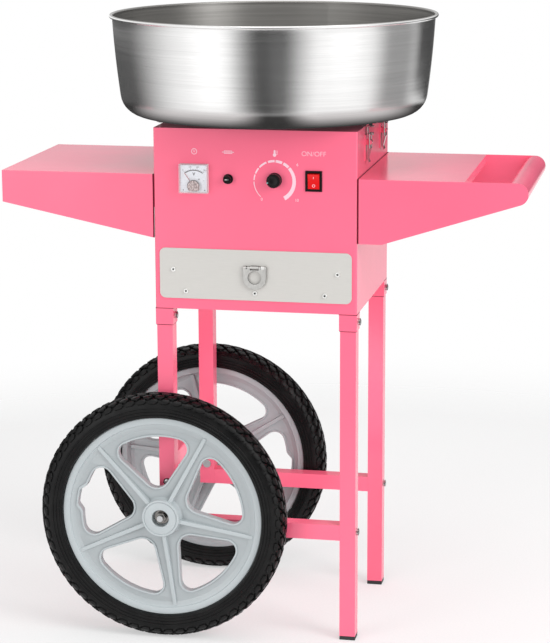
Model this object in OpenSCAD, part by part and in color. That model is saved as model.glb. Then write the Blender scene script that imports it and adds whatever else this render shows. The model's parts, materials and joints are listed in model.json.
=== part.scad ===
// Cotton candy cart: a cabinet with a spinning head and a steel bowl, on a frame with two wheels.
// Millimetres, +Z up, front towards -Y. The origin is on the floor under the middle of the whole cart.

/* [Cabinet] */
// Width of the cabinet
body_w = 320; // [310:1:380]
// Depth of the cabinet, front to back
body_d = 305; // [298:1:360]
// Height of the cabinet
body_h = 284; // [280:1:330]
// Height of the cabinet's underside above the floor
body_z = 531; // [500:1:600]
// Thickness of the painted sheet
sheet = 1.2; // [1:0.1:1.6]
// Radius of the cabinet's upright edges
edge_r = 2.5; // [2:0.1:4]
// Height of the motor deck above the cabinet's underside
deck_h = 104; // [102:1:112]
// Thickness of the motor deck
deck_t = 1.5; // [1:0.1:2.5]
// Radius of the shaft hole in the cabinet's top and the bowl
shaft_hole_r = 18; // [14:0.5:26]
// Fit gap between sheet pieces that are screwed together
seat = 0.1; // [0.05:0.05:0.3]

/* [Back cover] */
// Width of the flange that the back cover screws to
flange_w = 14; // [12:1:20]
// Length of a louvre slot
louvre_w = 90; // [40:1:120]
// Height of a louvre slot
louvre_h = 4; // [3:0.5:6]
// Number of louvre slots
louvre_n = 6; // [3:1:7]

/* [Frame] */
// Side of the square leg tube
leg_w = 25; // [22:0.5:30]
// Wall of the leg tube
leg_wall = 1.5; // [1.2:0.1:2]
// Wall of a leg socket
socket_wall = 1.4; // [1:0.1:2]
// Fit gap between a leg and its socket
leg_fit = 0.1; // [0.05:0.05:0.3]
// Height of a leg socket
socket_h = 26.5; // [22:0.5:40]
// Drop of the lower rails' middle below the axle
rail_drop = 22.5; // [19:0.5:60]
// Rise of the side rail's middle above the axle
side_rail_rise = 80; // [75:1:130]
// Height of a foot under the right legs
foot_h = 6.5; // [4:0.5:12]
// Length of a foot's plug inside the leg
foot_plug_h = 18; // [10:1:30]
// Fit gap of plugs and blocks inside a tube
plug_fit = 0.1; // [0.05:0.05:0.3]
// Radius of a frame bolt's shank
bolt_r = 3; // [2.5:0.1:3.5]
// Radius of a frame bolt's head
bolt_head_r = 5.4; // [4.8:0.1:6]
// Height of a frame bolt's head
bolt_head_h = 3.2; // [2.5:0.1:4]
// Gap around a bolt in its hole
bolt_fit = 0.1; // [0.05:0.05:0.3]
// Height of the block bolts above the axle
block_bolt_rise = 48; // [40:1:52]

/* [Wheels] */
// Outer radius of a tyre, and the axle's height
tyre_r = 200; // [190:1:220]
// Width of a tyre
tyre_w = 45; // [38:1:60]
// Rounding of a tyre's section
tyre_round = 13; // [8:0.5:16]
// Half of a tyre's width at its bead
tyre_bead = 18.5; // [16:0.5:18.5]
// Radius of a wheel's rim under the tyre
rim_r = 162; // [158:1:170]
// Width of a wheel's rim
rim_w = 28; // [22:1:34]
// Radius of the windows' outer edge
window_r = 130.5; // [122:0.5:140]
// Radius of a window's outer corners
window_corner_r = 16; // [10:0.5:20]
// Radius of a window's inner corner
window_apex_r = 20; // [14:0.5:24]
// Half width of a spoke at the hub
spoke_hub_half = 19.5; // [15:0.5:21]
// Half width of a spoke at the rim
spoke_rim_half = 14.5; // [10:0.5:18]
// Number of spokes
spoke_n = 5; // [5:1:6]
// Angle of the front wheel's first spoke, above the +X direction
spoke_phase = -10.5; // [-36:0.5:36]
// Angle of the rear wheel's first spoke, seen from the back
rear_phase = 4; // [-36:0.5:36]
// Thickness of the spokes along the axle
spoke_t = 14; // [8:1:18]
// Width of the rib along a spoke
rib_w = 7; // [4:0.5:10]
// Height of the rib above a spoke
rib_h = 3; // [1:0.5:5]
// Height of the rib on a spoke's inner side
inner_rib_h = 6; // [1:0.5:8]
// Radius of the hub
hub_r = 30; // [24:0.5:34]
// Reach of the hub beyond the wheel's middle, outwards
hub_reach = 24; // [20:0.5:28]
// Radius of the axle nut's recess in the hub
recess_r = 14; // [12:0.5:18]
// Depth of the axle nut's recess in the hub
recess_d = 13; // [12:0.5:16]
// Radius of a stub axle
axle_r = 5; // [4:0.1:6]
// Running gap between hub and axle
axle_run = 0.05; // [0.02:0.01:0.1]
// Gap between a tyre and the leg beside it
wheel_gap = 2.5; // [2.2:0.1:8]
// Thickness of a washer
washer_t = 2; // [1.5:0.1:3]
// Thickness of an axle nut
nut_h = 8; // [6:0.5:9]
// Side clearance of a wheel on its axle
axle_play = 0.25; // [0.2:0.05:0.6]

/* [Shelves] */
// Drop of the shelf tops below the cabinet's top
shelf_drop = 72.5; // [70:0.5:84]
// Height of a shelf's cheeks at the cabinet
shelf_h = 100; // [90:1:120]
// Reach of the left shelf
left_reach = 246.5; // [200:0.5:300]
// Height of the left shelf's outer end
left_end_h = 50; // [30:1:70]
// Reach of the right shelf to the end of its grip
right_reach = 260.5; // [230:0.5:300]
// Distance of the hand opening from the cabinet
hand_x = 164; // [140:1:175]
// Depth of the lip at the hand opening
hand_lip = 14; // [8:1:20]
// Outer radius of the grip bar
grip_r = 17; // [14:0.5:20]
// Wall of the grip bar
grip_wall = 1.5; // [1:0.1:3]
// Run of the right shelf's level lower edge
right_level = 38; // [20:1:60]
// Gap between a shelf's cheeks and the cabinet
cheek_gap = 2; // [1.7:0.1:4]
// Distance of a shelf's screws from the middle
shelf_screw_y = 100; // [60:1:130]
// Depth of a shelf's screws below its top
shelf_screw_drop = 40; // [30:1:50]

/* [Bowl] */
// Radius of the bowl over its rim bead
bowl_r = 260; // [240:1:290]
// Height of the bowl to the middle of its rim bead
bowl_h = 162.5; // [140:0.5:190]
// Wall of the bowl
bowl_wall = 1; // [0.8:0.1:1.6]
// Radius of the rim bead
bead_r = 4; // [3:0.1:6]
// Radius of the bowl's lower corner
bowl_corner_r = 40; // [25:1:50]
// Lean of the bowl's wall from upright, degrees
bowl_lean = 5.5; // [3:0.1:8]

/* [Latches] */
// Distance of the latches from the middle of a side
latch_y = 75; // [60:1:90]
// Width of a latch's base plate
latch_w = 17; // [16.5:0.5:22]
// Height of a latch's base plate
latch_h = 40; // [36:1:46]
// Drop of the base plate below the cabinet's top
latch_drop = 14; // [12:0.5:16]
// Thickness of the latch's plates
latch_t = 1.2; // [1:0.1:1.6]
// Drop of the lever's pivot below the cabinet's top
pivot_drop = 25; // [24:0.5:27]
// Distance of the lever's pivot from the cabinet
pivot_out = 7; // [6.5:0.5:9]
// Distance from the lever's pivot to the bail's pivot
throw = 9; // [8:0.5:10]
// Width of a latch lever
lever_w = 10; // [8:0.5:10.5]
// Radius of a latch's pivot pin
pivot_r = 1.5; // [1.2:0.1:1.8]
// Radius of the bail's wire
wire_r = 1.1; // [0.8:0.1:1.2]
// Drop of the bail's bar below the cabinet's top
bar_drop = 11.5; // [11:0.5:12.5]
// Half width of the bail between wire centres
bail_half = 8.4; // [8.3:0.1:9.5]
// Width of a bowl catch
catch_w = 10; // [8:0.5:11]
// Running gap of pins in the moving small parts
pin_run = 0.05; // [0.02:0.01:0.1]
// Side gap between moving small parts
side_gap = 0.3; // [0.25:0.05:0.4]

/* [Front panel] */
// Drop of the controls' middle below the cabinet's top
ctrl_drop = 77; // [74:0.5:84]
// Place of the voltmeter across the panel
meter_x = -95; // [-110:0.5:-85]
// Side of the square voltmeter
meter_w = 45; // [40:0.5:50]
// Depth of the voltmeter's window
meter_d = 9; // [8:0.5:14]
// Thickness of the voltmeter's flange
meter_flange_t = 3; // [2:0.5:4]
// Wall of the voltmeter's window
lens_t = 1.5; // [1:0.1:2]
// Radius of the voltmeter's barrel behind the panel
meter_barrel_r = 19; // [16:0.5:19.5]
// Length of the voltmeter's barrel
meter_barrel_h = 30; // [20:1:40]
// Length of the voltmeter's needle
needle_l = 25; // [18:0.5:26]
// Drop of the needle's pivot below the meter's middle
needle_drop = 12; // [10:0.5:13]
// Place of the fuse holder across the panel
fuse_x = -41.5; // [-55:0.5:-30]
// Radius of the fuse holder's flange
fuse_flange_r = 7.75; // [7:0.25:10]
// Radius of the fuse holder's barrel
fuse_barrel_r = 6; // [5.5:0.1:6.5]
// Length of the fuse holder's barrel
fuse_barrel_h = 38; // [25:1:45]
// Radius of the fuse cap
fuse_cap_r = 6; // [5:0.1:7]
// Height of the fuse cap
fuse_cap_h = 8; // [5:0.5:12]
// Place of the temperature knob across the panel
knob_x = 31.5; // [10:0.5:45]
// Radius of the temperature knob
knob_r = 11.5; // [11:0.5:16]
// Height of the temperature knob
knob_h = 13; // [13:0.5:20]
// Radius of the temperature knob's spindle
spindle_r = 3; // [2.5:0.1:3.2]
// Side of the temperature control's square case
control_w = 46; // [36:1:50]
// Depth of the temperature control's case
control_d = 28; // [20:1:34]
// Place of the switch across the panel
switch_x = 92.5; // [80:0.5:110]
// Width of the switch bezel
switch_w = 26; // [24:0.5:30]
// Height of the switch bezel
switch_h = 32; // [31:0.5:36]
// Width of the red rocker
rocker_w = 18; // [14:0.5:19]
// Height of the red rocker
rocker_h = 23.4; // [18:0.1:24]
// Tilt of the rocker each way, degrees
rocker_tilt = 8; // [4:0.5:9]

/* [Drawer] */
// Width of the drawer's front
front_w = 304; // [300:1:308]
// Height of the drawer's front
front_h = 79.5; // [78:0.5:84]
// Height of the drawer front's lower edge above the cabinet's underside
front_rise = 17; // [15:0.5:20]
// Radius of the drawer front's corners
front_corner_r = 9; // [4:0.5:14]
// Width of the drawer's box
drawer_w = 288; // [270:1:290]
// Height of the drawer's box
drawer_h = 68; // [50:1:69]
// Depth of the drawer's box
drawer_d = 270; // [200:1:280]
// Sheet of the drawer's box
drawer_t = 1; // [0.8:0.1:1.5]
// Gap between the drawer and the cabinet around it
drawer_gap = 0.4; // [0.3:0.05:0.8]
// Width of the drawer's pull
pull_w = 36.5; // [30:0.5:40]
// Height of the drawer's pull below its hinge
pull_h = 34; // [28:0.5:40]
// Thickness of the drawer's pull
pull_t = 3; // [2:0.25:3.5]
// Radius of the finger hole in the pull
pull_hole_r = 10.7; // [8:0.1:11.5]
// Width of the pull's hinge barrel
barrel_w = 13; // [10:0.5:16]

/* [Spinner] */
// Radius of the motor
motor_r = 50; // [40:1:56]
// Height of the motor
motor_h = 98; // [80:1:104]
// Height of the rubber motor mounts
mount_h = 10; // [6:0.5:14]
// Radius of the spinner's shaft
shaft_r = 6; // [5:0.1:7]
// Depth of the shaft in the motor
shaft_seat = 24; // [15:1:40]
// Radius of the sleeve that carries the slip rings
sleeve_r = 11; // [9:0.5:13]
// Radius of the slip rings
ring_r = 16; // [14.5:0.5:17.5]
// Height of a slip ring
ring_h = 8; // [6:0.5:9]
// Height of the spinner head's underside above the bowl's bottom
head_rise = 36; // [25:1:50]
// Radius of the spinner head
head_r = 66; // [55:1:80]
// Height of the spinner head's heater band
band_h = 44; // [30:1:55]
// Radius of the sugar mouth in the spinner's cap
mouth_r = 26; // [18:1:34]

/* [Hidden] */
$fn = 96;
pink = [1, 0.52, 0.63];
zinc = [0.76, 0.77, 0.78];
steel = [0.82, 0.83, 0.84];
black = [0.08, 0.08, 0.08];
cream = [0.85, 0.84, 0.81];
moulded_grey = [0.72, 0.76, 0.77];

body_cx = (left_reach - right_reach) / 2;
body_top = body_z + body_h;
front_y = -body_d / 2;
side_x = body_w / 2;

socket_w = leg_w + 2 * (leg_fit + socket_wall);
leg_x = side_x - socket_w / 2;
leg_y = body_d / 2 - socket_w / 2;
leg_inside = leg_w - 2 * leg_wall;
socket_bolt_z = body_z - socket_h / 2;
axle_z = tyre_r;
rail_mid_z = axle_z - rail_drop;
rail_z = rail_mid_z - leg_w / 2;
side_rail_z = axle_z + side_rail_rise;

wheel_y = leg_y + leg_w / 2 + wheel_gap + tyre_w / 2;
hub_in_y = leg_y + leg_w / 2 + washer_t + axle_play;
hub_out_y = wheel_y + hub_reach;
recess_y = hub_out_y - recess_d;
block_bolt_z = axle_z + block_bolt_rise;
block_margin = 12;
axle_head_r = axle_r + 2;
axle_washer_r = axle_r + 6;
axle_nut_r = axle_r + 4;
axle_tip = 2;

shelf_top = body_top - shelf_drop;
grip_x = side_x + right_reach - grip_r;
grip_z = shelf_top - grip_r;
flange_margin = 12;
shelf_flange_h = shelf_screw_drop + flange_margin;
screw_r = 1.8;
screw_head_r = 3.6;
screw_head_h = 2;
screw_l = 8;
cover_screw_in = 24;
louvre_rise = 30;

ctrl_z = body_top - ctrl_drop;
fuse_flange_t = 2.5;
fuse_stub_l = 10;
fuse_stub_r = fuse_barrel_r - 1.6;
bush_r = spindle_r + 1.5;
bush_h = 6;
panel_nut_r = 7;
panel_nut_h = 2.5;
spindle_seat = 8;
pointer_w = 1.6;
pointer_d = 0.8;
pointer_turn = 72.5;
needle_sweep = 70;
switch_body_w = switch_w - 4;
switch_body_h = switch_h - 4;
switch_depth = 24;
bezel_t = 2;
dial_t = 0.8;
dial_pin_r = 1;
dial_pin_l = 4;
rocker_room = 0.9;
rocker_depth = 9;
rocker_horn = 1.4;
rocker_back = 3;
rocker_keel = 4;
pivot_in = 1;

runner_t = 1.5;
runner_lip = 8;
runner_plate_h = 20;
bay_w = drawer_w + 2 * (drawer_gap + runner_t);
runner_z = body_z + front_rise + 2;
drawer_z = runner_z + runner_t + drawer_gap;
front_z = body_z + front_rise;
front_back_y = front_y - drawer_gap;
front_face_y = front_back_y - sheet;
high_screw_in = 22;
low_screw_in = 42;
high_screw_x = front_w / 2 - high_screw_in;
high_screw_z = 46;
low_screw_x = front_w / 2 - low_screw_in;
low_screw_z = 12;
drawer_screws_at = [
    [-high_screw_x, high_screw_z],
    [high_screw_x, high_screw_z],
    [-low_screw_x, low_screw_z],
    [0, low_screw_z],
    [low_screw_x, low_screw_z]
];
pull_pin_r = 1.3;
barrel_r = 2.6;
pull_arm_r = 2;
pull_rise = 53;
pull_axis_y = front_face_y - barrel_r;
pull_axis_z = front_z + pull_rise;

deck_z = body_z + deck_h;
motor_z = deck_z + deck_t + mount_h;
motor_top = motor_z + motor_h;
motor_flange = 4;
mount_r = 8;
mount_at = motor_r - 4;
head_z = body_top + bowl_wall + head_rise;
brush_gap = 0.3;
ring_gap = 6;
ring_z = motor_top + ring_gap;
ring_pitch = ring_h + ring_gap;
boss_wall = 6;
boss_up = 10;
base_rim = 7;
cap_h = 18;
cap_rim = 4;

inlet_rise = 40;
inlet_z = deck_z + inlet_rise;
inlet_x = 90;
inlet_w = 27;
inlet_h = 20;
inlet_flange_t = 3;
blade_pitch = 7;
blade_w = 2;
blade_h = 4;

// Points along an arc about c, from angle a to angle b
function arc(c, r, a, b, n) = [for (i = [0:n]) c + r * [cos(a + (b - a) * i / n), sin(a + (b - a) * i / n)]];

// Moves what is modelled about the cabinet's middle to the cart's frame
module placed() {
    translate([body_cx, 0, 0])
        children();
}

// Rectangle with round corners
module rounded(w, h, r) {
    square([w - 2 * r, h], center = true);
    square([w, h - 2 * r], center = true);
    for (x = [-1, 1], y = [-1, 1])
        translate([x * (w / 2 - r), y * (h / 2 - r)])
            circle(r);
}

// An outline in X and Z, made solid from y0 to y0 + t
module upright(y0, t) {
    translate([0, y0 + t, 0])
        rotate([90, 0, 0])
            linear_extrude(t)
                children();
}

// Round bar along +X, +Y or +Z from a point
module bar_x(p, r, l) {
    translate(p)
        rotate([0, 90, 0])
            cylinder(r = r, h = l);
}
module bar_y(p, r, l) {
    translate(p)
        rotate([-90, 0, 0])
            cylinder(r = r, h = l);
}
module bar_z(p, r, l) {
    translate(p)
        cylinder(r = r, h = l);
}

// Block from its middle in X and Z, and its front and back in Y
module slab(x, z, w, h, y0, y1) {
    translate([x - w / 2, y0, z - h / 2])
        cube([w, y1 - y0, h]);
}

// Socket screw: the head stands on z = 0 and the shank goes down
module screw(r, head_r, head_h, l) {
    difference() {
        cylinder(r = head_r, h = head_h);
        translate([0, 0, head_h * 0.4])
            cylinder(r = head_r * 0.5, h = head_h, $fn = 6);
    }
    translate([0, 0, -l])
        cylinder(r = r, h = l);
}

// Cabinet: front, sides and top folded from one sheet
module cabinet() {
    color(pink)
    difference() {
        union() {
            difference() {
                translate([0, 0, body_z])
                    linear_extrude(body_h)
                        rounded(body_w, body_d, edge_r);
                translate([sheet - side_x, front_y + sheet, body_z - 1])
                    cube([body_w - 2 * sheet, body_d, body_h - sheet + 1]);
            }
            for (s = [-1, 1])
                slab(s * (side_x - flange_w / 2), body_z + body_h / 2, flange_w, body_h,
                     -front_y - 2 * sheet - seat, -front_y - sheet - seat);
        }
        slab(0, runner_z + drawer_room() / 2, bay_w, drawer_room(), front_y - 1, front_y + sheet + 1);
        bar_y([meter_x, front_y - 1, ctrl_z], meter_barrel_r + seat, sheet + 2);
        bar_y([fuse_x, front_y - 1, ctrl_z], fuse_barrel_r + seat, sheet + 2);
        bar_y([knob_x, front_y - 1, ctrl_z], bush_r + seat, sheet + 2);
        slab(switch_x, ctrl_z, switch_body_w + 2 * seat, switch_body_h + 2 * seat,
             front_y - 1, front_y + sheet + 1);
        bar_z([0, 0, body_top - sheet - 1], shaft_hole_r, sheet + 2);
        shelf_screw_holes();
        cover_screw_holes();
    }
}
function drawer_room() = runner_t + 2 * drawer_gap + drawer_h;

module shelf_screw_holes() {
    for (s = [-1, 1], y = [-1, 1])
        bar_x([s * side_x - 10, y * shelf_screw_y, shelf_top - shelf_screw_drop], screw_r + bolt_fit, 20);
}
function cover_screw_zs() = [body_z + cover_screw_in, body_z + body_h / 2, body_top - cover_screw_in];
module cover_screw_holes() {
    for (s = [-1, 1], z = cover_screw_zs())
        bar_y([s * (side_x - flange_w / 2), -front_y - 10, z], screw_r + bolt_fit, 20);
}

// Back cover with louvre slots and the cut-out for the power inlet
module back_cover() {
    cover_h = body_h - sheet - seat;
    color(pink)
    difference() {
        slab(0, body_z + cover_h / 2, body_w - 2 * (sheet + seat), cover_h, -front_y - sheet, -front_y);
        for (i = [0:louvre_n - 1])
            slab(-inlet_x / 2, deck_z + louvre_rise + 3 * louvre_h * i, louvre_w, louvre_h,
                 -front_y - 5, -front_y + 5);
        slab(inlet_x, inlet_z, inlet_w + 2 * seat, inlet_h + 2 * seat, -front_y - 5, -front_y + 5);
        cover_screw_holes();
    }
}

// Floor of the cabinet, which the leg sockets stand under
module bottom_plate() {
    color(pink)
    translate([sheet + seat - side_x, front_y + sheet + seat, body_z])
        cube([body_w - 2 * (sheet + seat), body_d - 3 * (sheet + seat), sheet]);
}

// Plate over the drawer bay that carries the motor
module motor_deck() {
    color(zinc)
    translate([sheet + seat - side_x, front_y + sheet + seat, deck_z])
        cube([body_w - 2 * (sheet + seat), body_d - 3 * (sheet + seat), deck_t]);
}

// Four square sockets under the cabinet's corners
module leg_sockets() {
    bore_w = leg_w + 2 * leg_fit;
    color(pink)
    for (x = [-1, 1], y = [-1, 1])
        difference() {
            translate([x * leg_x - socket_w / 2, y * leg_y - socket_w / 2, body_z - socket_h])
                cube([socket_w, socket_w, socket_h]);
            translate([x * leg_x - bore_w / 2, y * leg_y - bore_w / 2, body_z - socket_h - 1])
                cube([bore_w, bore_w, socket_h + 2]);
            socket_bolt_hole(x, y);
        }
}
module socket_bolt_hole(x, y) {
    bar_x([x * leg_x, y * leg_y, socket_bolt_z], bolt_r + bolt_fit, socket_w);
}

// Leg tube at a corner, from z0 up to the cabinet
module leg(x, y, z0) {
    difference() {
        translate([x * leg_x - leg_w / 2, y * leg_y - leg_w / 2, z0])
            cube([leg_w, leg_w, body_z - z0]);
        translate([x * leg_x - leg_inside / 2, y * leg_y - leg_inside / 2, z0 - 1])
            cube([leg_inside, leg_inside, body_z - z0 + 2]);
        socket_bolt_hole(x, y);
        rail_bolt_hole(x, y);
        children();
    }
}
module rail_bolt_hole(x, y) {
    bar_x([x * leg_x - leg_w, y * leg_y, rail_mid_z], bolt_r + bolt_fit, 2 * leg_w);
}
module left_leg(y) {
    color(pink)
    leg(-1, y, rail_z) {
        bar_y([-leg_x, y * leg_y - leg_w, axle_z], axle_r + bolt_fit, 2 * leg_w);
        bar_y([-leg_x, y * leg_y - leg_w, block_bolt_z], bolt_r + bolt_fit, 2 * leg_w);
    }
}
module front_right_leg() {
    color(pink)
    leg(1, -1, foot_h);
}
module rear_right_leg() {
    color(pink)
    leg(1, 1, foot_h);
}
module front_left_leg() {
    left_leg(-1);
}
module rear_left_leg() {
    left_leg(1);
}

// Feet plugged into the right legs
module leg_feet() {
    plug_w = leg_inside - 2 * plug_fit;
    color(black)
    for (y = [-1, 1]) {
        translate([leg_x - leg_w / 2, y * leg_y - leg_w / 2, 0])
            cube([leg_w, leg_w, foot_h]);
        translate([leg_x - plug_w / 2, y * leg_y - plug_w / 2, 0])
            cube([plug_w, plug_w, foot_h + foot_plug_h]);
    }
}

// Lower rail between a left and a right leg, with closed ends that take the bolts
module rail(y) {
    rail_l = 2 * leg_x - leg_w;
    color(pink)
    difference() {
        translate([-rail_l / 2, y * leg_y - leg_w / 2, rail_z])
            cube([rail_l, leg_w, leg_w]);
        translate([-rail_l / 2 + 2 * leg_wall, y * leg_y - leg_inside / 2, rail_z + leg_wall])
            cube([rail_l - 4 * leg_wall, leg_inside, leg_inside]);
        for (x = [-1, 1])
            rail_bolt_hole(x, y);
    }
}
module front_rail() {
    rail(-1);
}
module rear_rail() {
    rail(1);
}

// Rail between the two left legs
module side_rail() {
    side_l = 2 * leg_y - leg_w;
    color(pink)
    difference() {
        slab(-leg_x, side_rail_z, leg_w, leg_w, -side_l / 2, side_l / 2);
        slab(-leg_x, side_rail_z, leg_inside, leg_inside, -side_l / 2 - 1, side_l / 2 + 1);
    }
}

// Solid blocks inside the left legs that hold the stub axles
module axle_blocks() {
    block_w = leg_inside - 2 * plug_fit;
    block_z = axle_z - block_margin;
    color(zinc)
    for (y = [-1, 1])
        difference() {
            translate([-leg_x - block_w / 2, y * leg_y - block_w / 2, block_z])
                cube([block_w, block_w, block_bolt_rise + 2 * block_margin]);
            bar_y([-leg_x, y * leg_y - leg_w, axle_z], axle_r + bolt_fit, 2 * leg_w);
            bar_y([-leg_x, y * leg_y - leg_w, block_bolt_z], bolt_r + bolt_fit, 2 * leg_w);
        }
}

// Stub axle bolts, with their heads on the inner side of the left legs
module stub_axles() {
    head_y = leg_y - leg_w / 2;
    color(zinc)
    for (s = [0, 1])
        mirror([0, s, 0]) {
            bar_y([-leg_x, head_y, axle_z], axle_r, hub_out_y + axle_tip - head_y);
            bar_y([-leg_x, head_y - bolt_head_h, axle_z], axle_head_r, bolt_head_h);
        }
}

// Washers and nuts on the stub axles
module axle_nuts() {
    nut_y = recess_y + axle_play + washer_t;
    color(zinc)
    for (s = [0, 1])
        mirror([0, s, 0]) {
            difference() {
                bar_y([-leg_x, leg_y + leg_w / 2, axle_z], axle_washer_r, washer_t);
                axle_hole();
            }
            difference() {
                bar_y([-leg_x, recess_y + axle_play, axle_z], recess_r - 2, washer_t);
                axle_hole();
            }
            difference() {
                translate([-leg_x, nut_y, axle_z])
                    rotate([-90, 0, 0])
                        cylinder(r = axle_nut_r, h = nut_h, $fn = 6);
                axle_hole();
            }
        }
}
module axle_hole() {
    bar_y([-leg_x, 0, axle_z], axle_r + bolt_fit, 2 * hub_out_y);
}

// Bolts of the frame, and the screws of the shelves and the back cover
module frame_fasteners() {
    color(zinc) {
        for (x = [-1, 1], y = [-1, 1]) {
            translate([x * leg_x + socket_w / 2, y * leg_y, socket_bolt_z])
                rotate([0, 90, 0])
                    screw(bolt_r, bolt_head_r, bolt_head_h, socket_w / 2);
            translate([x * (leg_x + leg_w / 2), y * leg_y, rail_mid_z])
                rotate([0, x * 90, 0])
                    screw(bolt_r, bolt_head_r, bolt_head_h, leg_w + 4 * leg_wall);
            translate([x * (side_x + sheet), y * shelf_screw_y, shelf_top - shelf_screw_drop])
                rotate([0, x * 90, 0])
                    screw(screw_r, screw_head_r, screw_head_h, screw_l);
        }
        for (y = [-1, 1])
            translate([-leg_x, y * (leg_y + leg_w / 2), block_bolt_z])
                rotate([y * -90, 0, 0])
                    screw(bolt_r, bolt_head_r, bolt_head_h, leg_w);
        for (s = [-1, 1], z = cover_screw_zs())
            translate([s * (side_x - flange_w / 2), -front_y, z])
                rotate([-90, 0, 0])
                    screw(screw_r, screw_head_r, screw_head_h, screw_l);
    }
}

// Flange that a shelf is screwed to the cabinet by, on side s
module shelf_flange(s) {
    difference() {
        translate([s > 0 ? side_x : -side_x - sheet, front_y + sheet, shelf_top - shelf_flange_h])
            cube([sheet, body_d - 2 * sheet, shelf_flange_h]);
        shelf_screw_holes();
    }
}

// Left shelf: a tapered tray, open underneath
module left_shelf() {
    end_x = -side_x - left_reach;
    color(pink)
    union() {
        translate([end_x, front_y, shelf_top - sheet])
            cube([left_reach, body_d, sheet]);
        translate([end_x, front_y, shelf_top - left_end_h])
            cube([sheet, body_d, left_end_h]);
        for (y = [front_y, -front_y - sheet])
            upright(y, sheet)
                polygon([
                    [-side_x - cheek_gap, shelf_top],
                    [end_x, shelf_top],
                    [end_x, shelf_top - left_end_h],
                    [-side_x - cheek_gap, shelf_top - shelf_h]
                ]);
        shelf_flange(-1);
    }
}

// Outline of the right shelf's cheek, with a round nose at the grip
module right_cheek_outline() {
    corner = [side_x + right_level, shelf_top - shelf_h];
    nose = [grip_x, grip_z];
    reach = norm(nose - corner);
    rise = atan2(nose[1] - corner[1], nose[0] - corner[0]) - asin(grip_r / reach);
    run = sqrt(reach * reach - grip_r * grip_r);
    polygon([
        [side_x + cheek_gap, shelf_top],
        [side_x + cheek_gap, corner[1]],
        corner,
        corner + run * [cos(rise), sin(rise)],
        nose,
        [grip_x, shelf_top]
    ]);
    translate(nose)
        circle(grip_r);
}

// Right shelf: a top with a hand opening between its cheeks
module right_shelf() {
    color(pink)
    union() {
        translate([side_x, front_y, shelf_top - sheet])
            cube([hand_x, body_d, sheet]);
        translate([side_x + hand_x - sheet, front_y, shelf_top - hand_lip])
            cube([sheet, body_d, hand_lip]);
        for (y = [front_y, -front_y - sheet])
            upright(y, sheet)
                right_cheek_outline();
        shelf_flange(1);
    }
}

// Tube between the right shelf's cheeks, to push the cart by
module grip_bar() {
    grip_l = body_d - 2 * sheet;
    color(pink)
    difference() {
        bar_y([grip_x, -grip_l / 2, grip_z], grip_r, grip_l);
        bar_y([grip_x, -grip_l / 2 - 1, grip_z], grip_r - grip_wall, grip_l + 2);
    }
}

// Bowl spun from one sheet, with a rolled rim
module bowl() {
    rim_wall_r = bowl_r - 2 * bead_r + bowl_wall;
    corner_x = rim_wall_r - (bowl_h - bowl_corner_r) * tan(bowl_lean) - bowl_corner_r / cos(bowl_lean);
    corner = [corner_x, bowl_corner_r];
    outer = arc(corner, bowl_corner_r, -90, -bowl_lean, 10);
    inner = arc(corner, bowl_corner_r - bowl_wall, -bowl_lean, -90, 10);
    color(steel)
    translate([0, 0, body_top])
        rotate_extrude($fn = 180) {
            polygon(concat(
                [[shaft_hole_r, 0]],
                outer,
                [[rim_wall_r, bowl_h], [rim_wall_r - bowl_wall / cos(bowl_lean), bowl_h]],
                inner,
                [[shaft_hole_r, bowl_wall]]
            ));
            translate([bowl_r - bead_r, bowl_h])
                circle(bead_r);
        }
}

// Runs what follows at one latch place: s is the side, y the end
module at_latch(s, y) {
    translate([s * side_x, y * latch_y, body_top])
        mirror([s > 0 ? 0 : 1, 0, 0])
            children();
}

// Hooks under the bowl that the latch bails pull on
module bowl_catches() {
    hook_in = pivot_out - wire_r - 3.2;
    hook_lip = pivot_out + wire_r + 2.3;
    hook_floor = -bar_drop - wire_r - side_gap;
    color(steel)
    for (s = [-1, 1], y = [-1, 1])
        at_latch(s, y)
            upright(-catch_w / 2, catch_w)
                polygon([
                    [hook_in, 0],
                    [hook_in, hook_floor - latch_t],
                    [hook_lip + latch_t, hook_floor - latch_t],
                    [hook_lip + latch_t, hook_floor + 3],
                    [hook_lip, hook_floor + 3],
                    [hook_lip, hook_floor],
                    [hook_in + latch_t, hook_floor],
                    [hook_in + latch_t, -latch_t],
                    [hook_lip + 2 * latch_t, -latch_t],
                    [hook_lip + 2 * latch_t, 0]
                ]);
}

// Latch base plates, with ears and a pin for the lever
module latch_bases() {
    ear_r = pivot_r + 2.5;
    ear_in = lever_w / 2 + side_gap;
    color(steel)
    for (s = [-1, 1], y = [-1, 1])
        at_latch(s, y) {
            translate([0, -latch_w / 2, -latch_drop - latch_h])
                cube([latch_t, latch_w, latch_h]);
            for (e = [-ear_in - latch_t, ear_in])
                upright(e, latch_t) {
                    translate([0, -pivot_drop - ear_r])
                        square([pivot_out, 2 * ear_r]);
                    translate([pivot_out, -pivot_drop])
                        circle(ear_r);
                }
            bar_y([pivot_out, -ear_in - latch_t, -pivot_drop], pivot_r, 2 * (ear_in + latch_t));
        }
}

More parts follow.
